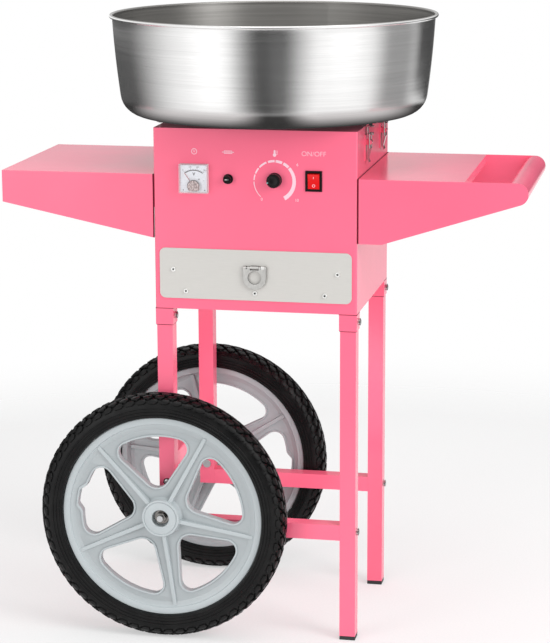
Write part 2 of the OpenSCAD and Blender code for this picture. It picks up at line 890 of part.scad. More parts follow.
// Latch lever, closed against its base plate
module lever(s, y) {
    bail_z = -pivot_drop - throw;
    tip_z = -latch_drop - latch_h;
    color(steel)
    at_latch(s, y)
        difference() {
            upright(-lever_w / 2, lever_w) {
                translate([pivot_out, -pivot_drop])
                    circle(pivot_r + 2.2);
                translate([pivot_out, bail_z])
                    circle(wire_r + 1.6);
                polygon([
                    [pivot_out - 1.6, -pivot_drop],
                    [pivot_out - 2.4, bail_z],
                    [latch_t + 1.8, tip_z + 4],
                    [latch_t + 4.2, tip_z - 3],
                    [latch_t + 6, tip_z - 2],
                    [latch_t + 4, tip_z + 4],
                    [pivot_out + 2.4, bail_z],
                    [pivot_out + 2.6, -pivot_drop]
                ]);
            }
            bar_y([pivot_out, -lever_w, -pivot_drop], pivot_r + pin_run, 2 * lever_w);
            bar_y([pivot_out, -lever_w, bail_z], wire_r + pin_run, 2 * lever_w);
        }
}
module lever_front_right() {
    lever(1, -1);
}
module lever_rear_right() {
    lever(1, 1);
}
module lever_front_left() {
    lever(-1, -1);
}
module lever_rear_left() {
    lever(-1, 1);
}

// Wire bail from the lever up into the bowl's catch
module bail(s, y) {
    bail_z = -pivot_drop - throw;
    bend_r = wire_r + 0.1;
    stub_l = bail_half - lever_w / 2 + 1.5;
    color(steel)
    at_latch(s, y) {
        bar_y([pivot_out, -bail_half, -bar_drop], wire_r, 2 * bail_half);
        for (e = [-1, 1]) {
            bar_z([pivot_out, e * bail_half, bail_z], wire_r, -bar_drop - bail_z);
            bar_y([pivot_out, e > 0 ? bail_half - stub_l : -bail_half, bail_z], wire_r, stub_l);
            for (z = [bail_z, -bar_drop])
                translate([pivot_out, e * bail_half, z])
                    sphere(bend_r);
        }
    }
}
module bail_front_right() {
    bail(1, -1);
}
module bail_rear_right() {
    bail(1, 1);
}
module bail_front_left() {
    bail(-1, -1);
}
module bail_rear_left() {
    bail(-1, 1);
}

// Voltmeter: flange on the panel and barrel behind it
module voltmeter_case() {
    color("white") {
        slab(meter_x, ctrl_z, meter_w, meter_w, front_y - meter_flange_t, front_y);
        bar_y([meter_x, front_y - 1, ctrl_z], meter_barrel_r, meter_barrel_h + 1);
    }
}

// Voltmeter's dial plate, with the pin for the needle
module voltmeter_dial() {
    dial_w = meter_w - 2 * lens_t - 2 * side_gap;
    dial_y = front_y - meter_flange_t;
    color("white") {
        slab(meter_x, ctrl_z, dial_w, dial_w, dial_y - dial_t, dial_y);
        bar_y([meter_x, dial_y - dial_pin_l, ctrl_z - needle_drop], dial_pin_r, dial_pin_l);
    }
}

// Clear window over the voltmeter's dial
module voltmeter_lens() {
    lens_y = front_y - meter_flange_t;
    inner_w = meter_w - 2 * lens_t;
    color([0.9, 0.95, 1, 0.4])
    difference() {
        slab(meter_x, ctrl_z, meter_w, meter_w, lens_y - meter_d, lens_y);
        slab(meter_x, ctrl_z, inner_w, inner_w, lens_y - meter_d + lens_t, lens_y + 1);
    }
}

// Voltmeter's needle, at the low end of its scale
module voltmeter_needle() {
    needle_t = 0.6;
    needle_w = 0.8;
    tail_l = 6;
    boss_r = 2.4;
    needle_y = front_y - meter_flange_t - dial_pin_l + boss_r / 2;
    color("red")
    translate([meter_x, needle_y, ctrl_z - needle_drop])
        rotate([0, -needle_sweep / 2, 0])
            difference() {
                union() {
                    bar_y([0, -dial_t, 0], boss_r, dial_t);
                    slab(0, needle_l / 2, needle_w, needle_l, -needle_t - 0.1, -0.1);
                    slab(0, -tail_l / 2, 2 * needle_w, tail_l, -needle_t - 0.1, -0.1);
                }
                bar_y([0, -dial_pin_l / 2, 0], dial_pin_r + pin_run, dial_pin_l);
            }
}

// Fuse holder through the panel
module fuse_holder() {
    color(black)
    difference() {
        union() {
            bar_y([fuse_x, front_y - fuse_flange_t, ctrl_z], fuse_flange_r, fuse_flange_t);
            bar_y([fuse_x, front_y - 1, ctrl_z], fuse_barrel_r, fuse_barrel_h + 1);
        }
        bar_y([fuse_x, front_y - fuse_flange_t - 1, ctrl_z], fuse_stub_r + pin_run, fuse_stub_l + 3);
    }
}

// Cap of the fuse holder
module fuse_cap() {
    cap_y = front_y - fuse_flange_t - side_gap;
    slot_w = 1.4;
    slot_d = 1.5;
    color(black)
    difference() {
        union() {
            bar_y([fuse_x, cap_y - fuse_cap_h, ctrl_z], fuse_cap_r, fuse_cap_h);
            bar_y([fuse_x, cap_y - 1, ctrl_z], fuse_stub_r, fuse_stub_l + 1);
        }
        slab(fuse_x, ctrl_z, 2 * fuse_cap_r + 1, slot_w, cap_y - fuse_cap_h - 1, cap_y - fuse_cap_h + slot_d);
    }
}

// Temperature control: case behind the panel, bush and nut through it
module temperature_control() {
    back_y = front_y + sheet;
    color([0.2, 0.22, 0.25])
    difference() {
        union() {
            slab(knob_x, ctrl_z, control_w, control_w, back_y, back_y + control_d);
            bar_y([knob_x, front_y - bush_h, ctrl_z], bush_r, bush_h + sheet + 1);
            translate([knob_x, front_y, ctrl_z])
                rotate([90, 0, 0])
                    cylinder(r = panel_nut_r, h = panel_nut_h, $fn = 6);
        }
        bar_y([knob_x, front_y - bush_h - 1, ctrl_z], spindle_r + pin_run, bush_h + spindle_seat + 5);
    }
}

// Temperature knob with its spindle and pointer groove
module temperature_knob() {
    foot_y = front_y - side_gap;
    color(black)
    difference() {
        union() {
            difference() {
                bar_y([knob_x, foot_y - knob_h, ctrl_z], knob_r, knob_h);
                bar_y([knob_x, foot_y - bush_h - 1, ctrl_z], panel_nut_r + 1.5, bush_h + 2);
            }
            bar_y([knob_x, foot_y - knob_h + 2, ctrl_z], spindle_r, knob_h + spindle_seat);
        }
        translate([knob_x, 0, ctrl_z])
            rotate([0, pointer_turn, 0])
                slab(0, -knob_r / 2 - 1, pointer_w, knob_r, foot_y - knob_h - 1, foot_y - knob_h + pointer_d);
    }
}

// Switch bezel and case, with the bay that the rocker turns in
module switch_bezel() {
    bay_h = rocker_h + 2 * rocker_room;
    bay_width = rocker_w + 2 * side_gap;
    color(black)
    difference() {
        union() {
            slab(switch_x, ctrl_z, switch_w, switch_h, front_y - bezel_t, front_y);
            slab(switch_x, ctrl_z, switch_body_w, switch_body_h, front_y - 1, front_y + switch_depth);
        }
        slab(switch_x, ctrl_z, bay_width, bay_h, front_y - bezel_t - 1, front_y + rocker_depth);
        bar_x([switch_x - rocker_pin_l() / 2 - side_gap, front_y + pivot_in, ctrl_z], pivot_r + pin_run,
              rocker_pin_l() + 2 * side_gap);
    }
}
function rocker_pin_l() = rocker_w + 2.6;

// Red rocker, pressed at its lower end: switched off
module switch_rocker() {
    color([0.85, 0.05, 0.08])
    translate([switch_x, front_y + pivot_in, ctrl_z])
        rotate([rocker_tilt, 0, 0]) {
            translate([-rocker_w / 2, 0, 0])
                rotate([90, 0, 90])
                    linear_extrude(rocker_w)
                        polygon([
                            [-bezel_t - pivot_in, 0],
                            [-bezel_t - pivot_in - rocker_horn, rocker_h / 2],
                            [rocker_back, rocker_h / 2],
                            [rocker_keel, 0],
                            [rocker_back, -rocker_h / 2],
                            [-bezel_t - pivot_in - rocker_horn, -rocker_h / 2]
                        ]);
            bar_x([-rocker_pin_l() / 2, 0, 0], pivot_r, rocker_pin_l());
        }
}

// Runners on the cabinet's sides that the drawer slides on
module drawer_runners() {
    inner_x = side_x - sheet;
    runner_l = drawer_d - 20;
    runner_y = front_y + sheet + 2;
    ledge_x = drawer_w / 2 - runner_lip;
    color(zinc)
    for (s = [0, 1])
        mirror([s, 0, 0]) {
            translate([inner_x - runner_t, runner_y, runner_z - runner_lip])
                cube([runner_t, runner_l, runner_plate_h]);
            translate([ledge_x, runner_y, runner_z])
                cube([inner_x - ledge_x, runner_l, runner_t]);
            translate([drawer_w / 2 + drawer_gap, runner_y, runner_z])
                cube([runner_t, runner_l, runner_lip]);
        }
}

// Drawer box, open at the top
module drawer_box() {
    color(zinc)
    difference() {
        translate([-drawer_w / 2, front_back_y, drawer_z])
            cube([drawer_w, drawer_d, drawer_h]);
        translate([drawer_t - drawer_w / 2, front_back_y + drawer_t, drawer_z + drawer_t])
            cube([drawer_w - 2 * drawer_t, drawer_d - 2 * drawer_t, drawer_h]);
        drawer_screw_holes();
    }
}
module drawer_screw_holes() {
    for (p = drawer_screws_at)
        bar_y([p[0], front_face_y - 1, front_z + p[1]], screw_r + bolt_fit, sheet + drawer_t + 2);
}

// Plain steel front of the drawer
module drawer_front() {
    color(cream)
    difference() {
        upright(front_face_y, sheet)
            translate([0, front_z + front_h / 2])
                rounded(front_w, front_h, front_corner_r);
        drawer_screw_holes();
    }
}

// Screws that hold the drawer's front to its box
module drawer_screws() {
    color(zinc)
    for (p = drawer_screws_at)
        translate([p[0], front_face_y, front_z + p[1]])
            rotate([90, 0, 0])
                screw(screw_r, screw_head_r, screw_head_h, sheet + drawer_t + 3);
}

// Hinge barrel of the pull, on the drawer's front
module pull_base() {
    color(zinc)
    difference() {
        union() {
            bar_x([-barrel_w / 2, pull_axis_y, pull_axis_z], barrel_r, barrel_w);
            slab(0, pull_axis_z, barrel_w, 2 * barrel_r, pull_axis_y, front_face_y);
        }
        bar_x([-barrel_w, pull_axis_y, pull_axis_z], pull_pin_r + pin_run, 2 * barrel_w);
    }
}

// Pull with a finger hole, hanging flat from its hinge
module pull_ring() {
    slot_w = barrel_w + 2 * side_gap;
    slot_h = barrel_r + 1.5;
    round_z = pull_axis_z - pull_h + pull_w / 2;
    color(zinc)
    union() {
        upright(pull_axis_y - pull_t / 2, pull_t)
            difference() {
                union() {
                    translate([-pull_w / 2, round_z])
                        square([pull_w, pull_axis_z - round_z]);
                    translate([0, round_z])
                        circle(pull_w / 2);
                }
                translate([0, round_z])
                    circle(pull_hole_r);
                translate([-slot_w / 2 - seat, pull_axis_z - slot_h])
                    square([slot_w + 2 * seat, slot_h + 1]);
                translate([-pull_w / 2, pull_axis_z])
                    square([pull_w, pull_h]);
            }
        for (s = [0, 1])
            mirror([s, 0, 0])
                bar_x([slot_w / 2, pull_axis_y, pull_axis_z], pull_arm_r, (pull_w - slot_w) / 2);
        bar_x([-pull_w / 2, pull_axis_y, pull_axis_z], pull_pin_r, pull_w);
    }
}

// Motor on its flange, with the bore that the spinner's shaft turns in
module motor() {
    color([0.25, 0.26, 0.28])
    difference() {
        union() {
            bar_z([0, 0, motor_z], motor_r, motor_h);
            translate([-mount_at - mount_r, -mount_at - mount_r, motor_z])
                cube([2 * (mount_at + mount_r), 2 * (mount_at + mount_r), motor_flange]);
        }
        bar_z([0, 0, motor_top - shaft_seat - 1], shaft_r + axle_run, shaft_seat + 2);
    }
}

// Rubber mounts between the motor and its deck
module motor_mounts() {
    color(black)
    for (x = [-1, 1], y = [-1, 1])
        bar_z([x * mount_at, y * mount_at, deck_z + deck_t], mount_r, mount_h);
}

// Brush holder on the motor's top, with a brush at each slip ring
module brush_holder() {
    post_x = ring_r + 8;
    post_w = 16;
    brush_w = 6;
    brush_h = 4;
    color([0.45, 0.28, 0.16]) {
        translate([post_x, -post_w / 2, motor_top])
            cube([10, post_w, ring_z - motor_top + ring_pitch + ring_h]);
        for (i = [0, 1])
            translate([ring_r + brush_gap, -brush_w / 2, ring_z + i * ring_pitch + (ring_h - brush_h) / 2])
                cube([post_x - ring_r - brush_gap + 1, brush_w, brush_h]);
    }
}

// Spinner's shaft, with the sleeve that carries the slip rings
module spinner_shaft() {
    shaft_z = motor_top - shaft_seat;
    sleeve_z = motor_top + side_gap;
    color(steel) {
        bar_z([0, 0, shaft_z], shaft_r, head_z - shaft_z + boss_up + 4);
        bar_z([0, 0, sleeve_z], sleeve_r, ring_z + ring_pitch + ring_h + 2 - sleeve_z);
    }
}

// Two brass slip rings
module slip_rings() {
    color([0.8, 0.62, 0.25])
    for (i = [0, 1])
        difference() {
            bar_z([0, 0, ring_z + i * ring_pitch], ring_r, ring_h);
            bar_z([0, 0, ring_z + i * ring_pitch - 1], sleeve_r + axle_run, ring_h + 2);
        }
}

// Floor of the spinner head, fixed to the shaft
module spinner_base() {
    color(steel)
    translate([0, 0, head_z])
        rotate_extrude()
            polygon([
                [shaft_r + axle_run, -boss_wall],
                [shaft_r + boss_wall, -boss_wall],
                [shaft_r + boss_wall, 0],
                [head_r - 4, 0],
                [head_r, 4],
                [head_r, base_rim],
                [head_r - 2, base_rim],
                [head_r - 3, base_rim - 2],
                [shaft_r + boss_wall, 3],
                [shaft_r + boss_wall, boss_up],
                [shaft_r + axle_run, boss_up]
            ]);
}

// Heater band around the sugar chamber
module heater_band() {
    color([0.5, 0.48, 0.45])
    difference() {
        bar_z([0, 0, head_z + base_rim], head_r - 0.5, band_h);
        bar_z([0, 0, head_z + base_rim - 1], head_r - 2, band_h + 2);
    }
}

// Cap of the spinner head, with the mouth for sugar
module spinner_cap() {
    color(steel)
    translate([0, 0, head_z + base_rim + band_h])
        rotate_extrude()
            polygon([
                [head_r, 0],
                [head_r, cap_rim],
                [head_r - 6, cap_rim + 5],
                [mouth_r + 4, cap_h - 3],
                [mouth_r, cap_h],
                [mouth_r - 1, cap_h - 1],
                [mouth_r + 2, cap_h - 5],
                [head_r - 7, cap_rim + 2],
                [head_r - 4, 0]
            ]);
}

// Power inlet through the back cover, with three blades in its socket
module power_inlet() {
    inlet_depth = 26;
    socket_depth = 16;
    color(black) {
        difference() {
            union() {
                slab(inlet_x, inlet_z, inlet_w + 22, inlet_h + 4, -front_y, -front_y + inlet_flange_t);
                slab(inlet_x, inlet_z, inlet_w, inlet_h,
                     -front_y + inlet_flange_t - inlet_depth, -front_y + 1);
            }
            slab(inlet_x, inlet_z, inlet_w - 3, inlet_h - 4, -front_y + inlet_flange_t - socket_depth,
                 -front_y + inlet_flange_t + 1);
        }
        for (i = [-1, 0, 1])
            slab(inlet_x + i * blade_pitch, inlet_z + (i == 0 ? 2 : -2), blade_w, blade_h,
                 -front_y + inlet_flange_t - socket_depth - 1, -front_y);
    }
}

// Outline of one window between two spokes, about the +X direction
module window_outline() {
    half = 180 / spoke_n;
    apex = [(spoke_hub_half + window_apex_r) / sin(half), 0];
    swing = half - asin((spoke_rim_half + window_corner_r) / (window_r - window_corner_r));
    corner = (window_r - window_corner_r) * [cos(swing), sin(swing)];
    span = corner - apex;
    edge = atan2(span[1], span[0]) + acos((window_apex_r - window_corner_r) / norm(span));
    polygon(concat(
        arc(corner, window_corner_r, edge, swing, 8),
        arc([0, 0], window_r, swing, -swing, 12),
        arc([corner[0], -corner[1]], window_corner_r, -swing, -edge, 8),
        arc(apex, window_apex_r, 360 - edge, edge, 12)
    ));
}

// Spoked wheel about +Z, outer side up, with its middle at z = 0
module spoked_wheel(phase) {
    hub_in = hub_in_y - wheel_y;
    lip = 8;
    face = rim_w / 2 - 2;
    difference() {
        union() {
            difference() {
                bar_z([0, 0, -rim_w / 2], rim_r, rim_w);
                bar_z([0, 0, face], rim_r - lip, rim_w);
                bar_z([0, 0, face - spoke_t - rim_w], rim_r - lip, rim_w);
                for (i = [0:spoke_n - 1])
                    rotate(phase + (i + 0.5) * 360 / spoke_n)
                        translate([0, 0, -rim_w])
                            linear_extrude(2 * rim_w)
                                window_outline();
            }
            bar_z([0, 0, hub_in], hub_r, hub_reach - hub_in);
            for (i = [0:spoke_n - 1])
                rotate(phase + i * 360 / spoke_n)
                    translate([hub_r - 2, -rib_w / 2, face - spoke_t - inner_rib_h])
                        cube([rim_r - lip - hub_r + 3, rib_w, inner_rib_h + spoke_t + rib_h]);
        }
        bar_z([0, 0, hub_in - 1], axle_r + axle_run, hub_reach - hub_in + 2);
        bar_z([0, 0, hub_reach - recess_d], recess_r, recess_d + 1);
    }
}
module tyre() {
    rotate_extrude($fn = 180) {
        translate([(rim_r + tyre_r) / 2 + seat / 2, 0])
            rounded(tyre_r - rim_r - seat, tyre_w, tyre_round);
        translate([rim_r + seat + tyre_round / 2, 0])
            rounded(tyre_round, 2 * tyre_bead, 1);
    }
}

// Turns a wheel's +Z to the cart's front, or to its back
module at_wheel(front) {
    translate([-leg_x, front ? -wheel_y : wheel_y, axle_z])
        rotate([90, 0, front ? 0 : 180])
            children();
}
module front_wheel() {
    color(moulded_grey)
    at_wheel(true)
        spoked_wheel(spoke_phase);
}
module front_tyre() {
    color(black)
    at_wheel(true)
        tyre();
}
module rear_wheel() {
    color(moulded_grey)
    at_wheel(false)
        spoked_wheel(rear_phase);
}
module rear_tyre() {
    color(black)
    at_wheel(false)
        tyre();
}

placed() cabinet();
placed() back_cover();
placed() bottom_plate();
placed() motor_deck();
placed() leg_sockets();
placed() front_right_leg();
placed() rear_right_leg();
placed() front_left_leg();
placed() rear_left_leg();
placed() leg_feet();
placed() front_rail();
placed() rear_rail();
placed() side_rail();
placed() axle_blocks();
placed() stub_axles();
placed() axle_nuts();
placed() frame_fasteners();
placed() left_shelf();
placed() right_shelf();
placed() grip_bar();
placed() bowl();
placed() bowl_catches();
placed() voltmeter_case();
placed() voltmeter_dial();
placed() voltmeter_lens();
placed() voltmeter_needle();
placed() fuse_holder();
placed() fuse_cap();
placed() temperature_control();
placed() temperature_knob();
placed() switch_bezel();
placed() switch_rocker();
placed() drawer_runners();
placed() drawer_box();
placed() drawer_front();
placed() drawer_screws();
placed() pull_base();
placed() pull_ring();
placed() motor();
placed() motor_mounts();
placed() brush_holder();
placed() spinner_shaft();
placed() slip_rings();
placed() spinner_base();
placed() heater_band();
placed() spinner_cap();
placed() latch_bases();
placed() lever_front_right();
placed() lever_rear_right();
placed() lever_front_left();
placed() lever_rear_left();
placed() bail_front_right();
placed() bail_rear_right();
placed() bail_front_left();
placed() bail_rear_left();
placed() power_inlet();
placed() front_wheel();
placed() front_tyre();
placed() rear_wheel();
placed() rear_tyre();
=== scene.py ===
import json
import math

import bpy
from mathutils import Matrix, Vector


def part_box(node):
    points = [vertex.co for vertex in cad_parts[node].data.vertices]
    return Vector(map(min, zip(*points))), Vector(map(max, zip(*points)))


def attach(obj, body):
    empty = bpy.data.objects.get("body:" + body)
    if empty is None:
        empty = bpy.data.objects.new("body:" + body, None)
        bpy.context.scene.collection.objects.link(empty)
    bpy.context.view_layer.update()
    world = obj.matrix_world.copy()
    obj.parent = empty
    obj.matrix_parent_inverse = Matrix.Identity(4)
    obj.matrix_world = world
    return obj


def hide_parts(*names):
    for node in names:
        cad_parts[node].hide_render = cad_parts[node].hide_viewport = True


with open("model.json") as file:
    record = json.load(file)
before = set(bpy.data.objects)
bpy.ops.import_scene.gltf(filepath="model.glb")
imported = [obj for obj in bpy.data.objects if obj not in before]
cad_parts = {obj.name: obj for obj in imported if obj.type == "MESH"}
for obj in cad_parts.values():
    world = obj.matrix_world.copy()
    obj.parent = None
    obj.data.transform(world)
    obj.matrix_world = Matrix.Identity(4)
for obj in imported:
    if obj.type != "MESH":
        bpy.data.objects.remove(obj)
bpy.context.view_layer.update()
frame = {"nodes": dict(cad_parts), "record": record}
nodes = frame["nodes"]
record = frame["record"]
scene = bpy.context.scene
scene.view_settings.view_transform = "Standard"
bodyOf = {n: b for b, members in record["behaviour"]["bodies"].items() for n in members}
slotOf = {s["node"]: s["material_slot"] for s in record["subparts"]}
mm = 0.001
weld = 0.001 * mm  # points nearer than this become one
sharp = 35  # degrees, an edge that turns more stays an edge
print("frame loaded:", len(nodes), "nodes")


# selecting and finishing, used by every piece

def dropSelection():
    if bpy.context.object and bpy.context.object.mode != "OBJECT":
        bpy.ops.object.mode_set(mode="OBJECT")
    bpy.ops.object.select_all(action="DESELECT")


def pick(*objs):
    dropSelection()
    for obj in objs:
        obj.select_set(True)
    bpy.context.view_layer.objects.active = objs[0]
    return objs[0]


def editAll(obj):
    pick(obj)
    bpy.ops.object.mode_set(mode="EDIT")
    bpy.ops.mesh.select_all(action="SELECT")


def settle(obj):  # the place goes into the mesh
    pick(obj)
    bpy.ops.object.transform_apply(location=True, rotation=True, scale=True)
    return obj


def mend(obj):  # doubles merged, faces outwards
    editAll(obj)
    bpy.ops.mesh.remove_doubles(threshold=weld)
    bpy.ops.mesh.normals_make_consistent(inside=False)
    bpy.ops.object.mode_set(mode="OBJECT")
    return obj


def modify(obj, kind, **settings):
    modifier = obj.modifiers.new(kind.title(), kind)
    for key, value in settings.items():
        setattr(modifier, key, value)
    pick(obj)
    bpy.ops.object.modifier_apply(modifier=modifier.name)
    return obj


def smooth(obj, degrees=sharp):
    pick(obj)
    bpy.ops.object.shade_smooth_by_angle(angle=math.radians(degrees))
    return obj


def roundEdges(obj, width):
    modify(obj, "BEVEL", width=width, segments=2, limit_method="ANGLE",
           angle_limit=math.radians(sharp), miter_outer="MITER_ARC")
    smooth(obj)
    return modify(obj, "WEIGHTED_NORMAL", keep_sharp=True)  # large faces stay flat


def joinUp(objs, name):
    joined = pick(*objs)
    bpy.ops.object.join()
    joined.name = name
    return joined


def discard(*objs):
    pick(*objs)
    bpy.ops.object.delete()


def twin(obj, name):  # a copy with its own mesh
    pick(obj)
    bpy.ops.object.duplicate()
    copy = bpy.context.object
    copy.name = name
    return copy


def give(obj, material):
    obj.data.materials.clear()
    obj.data.materials.append(material)
    return obj


def dress(obj, material, *standsFor):  # stands for CAD nodes of one body
    give(obj, material)
    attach(obj, bodyOf[standsFor[0]])
    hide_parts(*standsFor)
    return obj


def addOn(obj, material, body):  # a piece more than the CAD has
    give(obj, material)
    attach(obj, body)
    return obj


# places and turns

moved = Matrix.Translation


def turned(angle, axis):
    return Matrix.Rotation(angle, 4, axis)


def quarter(axis):
    return turned(math.pi / 2, axis)


def middleOf(node):
    lo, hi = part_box(node)
    return (lo + hi) / 2


def onFront(obj, y):  # a flat piece drawn in X and Y stands upright at y, facing the front
    obj.matrix_world = moved((0, y, 0)) @ quarter("X")
    return settle(obj)


# starting shapes

def trace(name, points):  # a closed face, drawn from vertex to vertex in X and Z
    dropSelection()
    bpy.ops.mesh.primitive_plane_add(size=mm)
    obj = bpy.context.object
    obj.name = name
    bpy.ops.object.mode_set(mode="EDIT")
    bpy.ops.mesh.merge(type="CENTER")
    last = Vector((0, 0, 0))
    for i, (x, z) in enumerate(points):
        here = Vector((x, 0, z))
        if i == 0:
            bpy.ops.transform.translate(value=here - last)
        else:
            bpy.ops.mesh.extrude_vertices_move(TRANSFORM_OT_translate={"value": here - last})
        last = here
    bpy.ops.mesh.select_all(action="SELECT")
    bpy.ops.mesh.edge_face_add()
    return obj


def lathe(name, points, steps):  # a closed ring about Z from points (radius, height)
    obj = trace(name, points)
    bpy.ops.mesh.delete(type="ONLY_FACE")
    if points[0][0] == points[-1][0] == 0:  # solid to its axis: no line along it
        bpy.ops.mesh.select_all(action="DESELECT")
        bpy.ops.object.mode_set(mode="OBJECT")
        for vertex in obj.data.vertices:
            vertex.select = abs(vertex.co.x) < 0.1 * weld
        bpy.ops.object.mode_set(mode="EDIT")
        bpy.ops.mesh.delete(type="EDGE_FACE")
    bpy.ops.mesh.select_all(action="SELECT")
    bpy.ops.mesh.spin(steps=steps, angle=2 * math.pi, center=(0, 0, 0), axis=(0, 0, 1))
    return mend(obj)


def plate(name, outlines, thick, edge=0.0, rounds=2):  # flat outlines in X and Y, holes among them
    curve = bpy.data.curves.new(name, "CURVE")
    curve.dimensions = "2D"
    curve.fill_mode = "BOTH"
    curve.extrude = thick / 2 - edge
    curve.bevel_depth = edge
    curve.bevel_resolution = rounds
    curve.offset = -edge
    for outline in outlines:
        spline = curve.splines.new("POLY")
        spline.points.add(len(outline) - 1)
        for point, (x, y) in zip(spline.points, outline):
            point.co = (x, y, 0, 1)
        spline.use_cyclic_u = True
    obj = bpy.data.objects.new(name, curve)
    scene.collection.objects.link(obj)
    pick(obj)
    bpy.ops.object.convert(target="MESH")
    return mend(bpy.context.object)


def lettering(text, size, x, z, thick, thin=0.0):
    dropSelection()
    bpy.ops.object.text_add(location=(x, z, 0))
    obj = bpy.context.object
    obj.data.body = text
    obj.data.size = size
    obj.data.align_x = "CENTER"
    obj.data.align_y = "CENTER"
    obj.data.extrude = thick / 2
    obj.data.offset = -thin * size
    bpy.ops.object.convert(target="MESH")
    return mend(settle(bpy.context.object))


def arc(cx, cy, r, start, end, count):  # points of an arc, degrees
    turns = [math.radians(start + (end - start) * i / count) for i in range(count + 1)]
    return [(cx + r * math.cos(t), cy + r * math.sin(t)) for t in turns]


def ring(cx, cy, r, count):
    return arc(cx, cy, r, 0, 360, count)[:-1]


def bandArc(cx, cy, inner, outer, start, end, count):  # part of a flat ring
    points = []  # inner and outer are the radii at its start and end
    for radii, turns in ((outer, range(count + 1)), (inner, range(count, -1, -1))):
        for i in turns:
            t = math.radians(start + (end - start) * i / count)
            r = radii[0] + (radii[1] - radii[0]) * i / count
            points.append((cx + r * math.cos(t), cy + r * math.sin(t)))
    return points


def box2d(x0, x1, y0, y1):
    return [(x0, y0), (x1, y0), (x1, y1), (x0, y1)]


def boxRound(x, y, halfX, halfY):
    return box2d(x - halfX, x + halfX, y - halfY, y + halfY)


def cube(place, size):
    dropSelection()
    bpy.ops.mesh.primitive_cube_add(size=1, location=place)
    obj = bpy.context.object
    obj.scale = size
    return settle(obj)


def copyOf(node, name):  # a CAD node's mesh, merged and open in edit mode
    obj = bpy.data.objects.new(name, nodes[node].data.copy())
    scene.collection.objects.link(obj)
    editAll(obj)
    bpy.ops.mesh.remove_doubles(threshold=2 * weld)
    return obj


def softCopy(node, width):  # a CAD node's copy with its edges rounded
    obj = copyOf(node, node + "Soft")
    bpy.ops.mesh.dissolve_limited(angle_limit=math.radians(0.4))
    bpy.ops.object.mode_set(mode="OBJECT")
    return roundEdges(obj, width)


# shader maths

def findSocket(sockets, key):
    if isinstance(key, int):
        return sockets[key]
    for socket in sockets:
        if socket.identifier == key:
            return socket
    return sockets[key]


def shadeOf(colour, times):  # a darker or lighter tone, alpha 1
    return tuple(min(c * times, 1.0) for c in colour) + (1.0,)


class Wire:
    def __init__(self, shade, socket):
        self.shade = shade
        self.socket = socket

    def maths(self, operation, other=None, flip=False):
        pair = (other, self) if flip else (self, other)
        sockets = {i: v for i, v in enumerate(pair) if v is not None}
        return self.shade.add("ShaderNodeMath", {"operation": operation}, sockets)

    def __add__(self, other):
        return self.maths("ADD", other)

    def __sub__(self, other):
        return self.maths("SUBTRACT", other)

    def __rsub__(self, other):
        return self.maths("SUBTRACT", other, flip=True)

    def __mul__(self, other):
        return self.maths("MULTIPLY", other)

    def __truediv__(self, other):
        return self.maths("DIVIDE", other)

    def __pow__(self, other):
        return self.maths("POWER", other)

    def __abs__(self):
        return self.maths("ABSOLUTE")

    def orMore(self, other):
        return self.maths("MAXIMUM", other)

    __radd__ = __add__
    __rmul__ = __mul__


class Shade:
    def __init__(self, name, owner=None):
        self.owner = owner or bpy.data.materials.new(name)
        self.owner.use_nodes = True
        self.tree = self.owner.node_tree
        self.tree.nodes.clear()

    def add(self, kind, settings=None, sockets=None, out=0):
        node = self.tree.nodes.new(kind)
        for key, value in (settings or {}).items():
            setattr(node, key, value)
        for key, value in (sockets or {}).items():
            socket = findSocket(node.inputs, key)
            if isinstance(value, Wire):
                self.tree.links.new(value.socket, socket)
            else:
                socket.default_value = value
        return Wire(self, findSocket(node.outputs, out))

    def place(self):
        return self.add("ShaderNodeTexCoord", out="Object")

    def axes(self, vector):
        split = self.add("ShaderNodeSeparateXYZ", None, {0: vector}).socket.node
        return [Wire(self, socket) for socket in split.outputs]

    def stretch(self, vector, scale, shift=(0, 0, 0)):
        return self.add("ShaderNodeMapping", None, {"Vector": vector, "Location": shift, "Scale": scale})

    def noise(self, vector, scale, detail=2.0, rough=0.5):
        sockets = {"Vector": vector, "Scale": scale, "Detail": detail, "Roughness": rough}
        return self.add("ShaderNodeTexNoise", None, sockets, "Fac")

    def spread(self, value, low, high, toLow=0.0, toHigh=1.0):
        sockets = {"Value": value, "From Min": low, "From Max": high, "To Min": toLow, "To Max": toHigh}
        return self.add("ShaderNodeMapRange", None, sockets)

    def fade(self, value, low, high, toLow=0.0):  # like spread, with soft ends
        sockets = {"Value": value, "From Min": low, "From Max": high, "To Min": toLow}
        return self.add("ShaderNodeMapRange", {"interpolation_type": "SMOOTHSTEP"}, sockets)

    def mix(self, amount, first, second):
        sockets = {"Factor_Float": amount, "A_Color": first, "B_Color": second}
        return self.add("ShaderNodeMix", {"data_type": "RGBA"}, sockets, "Result_Color")

    def tones(self, value, colour, dark, pale, low=0.3, high=0.7):  # a colour between two of its tones
        return self.mix(self.spread(value, low, high), shadeOf(colour, dark), shadeOf(colour, pale))

    def bump(self, height, depth):
        return self.add("ShaderNodeBump", None, {"Height": height, "Distance": depth, "Strength": 1.0})

    def surface(self, **sockets):
        named = {key.replace("_", " "): value for key, value in sockets.items()}
        return self.close(self.add("ShaderNodeBsdfPrincipled", None, named, "BSDF"))

    def close(self, shader, kind="ShaderNodeOutputMaterial"):
        end = self.tree.nodes.new(kind)
        self.tree.links.new(shader.socket, end.inputs["Surface"])
        return self.owner


# finishes

most = (0.3, 0.7)  # a noise hardly leaves these values
centre = (0.35, 0.65)  # and keeps mostly within these
flowScale = 14  # how plastic ran in its mould

paint = {"colour": (0.95, 0.158, 0.265), "rough": (0.17, 0.25), "depth": 0.016 * mm,
         "cloud": 5, "peel": 460, "grain": 2400}


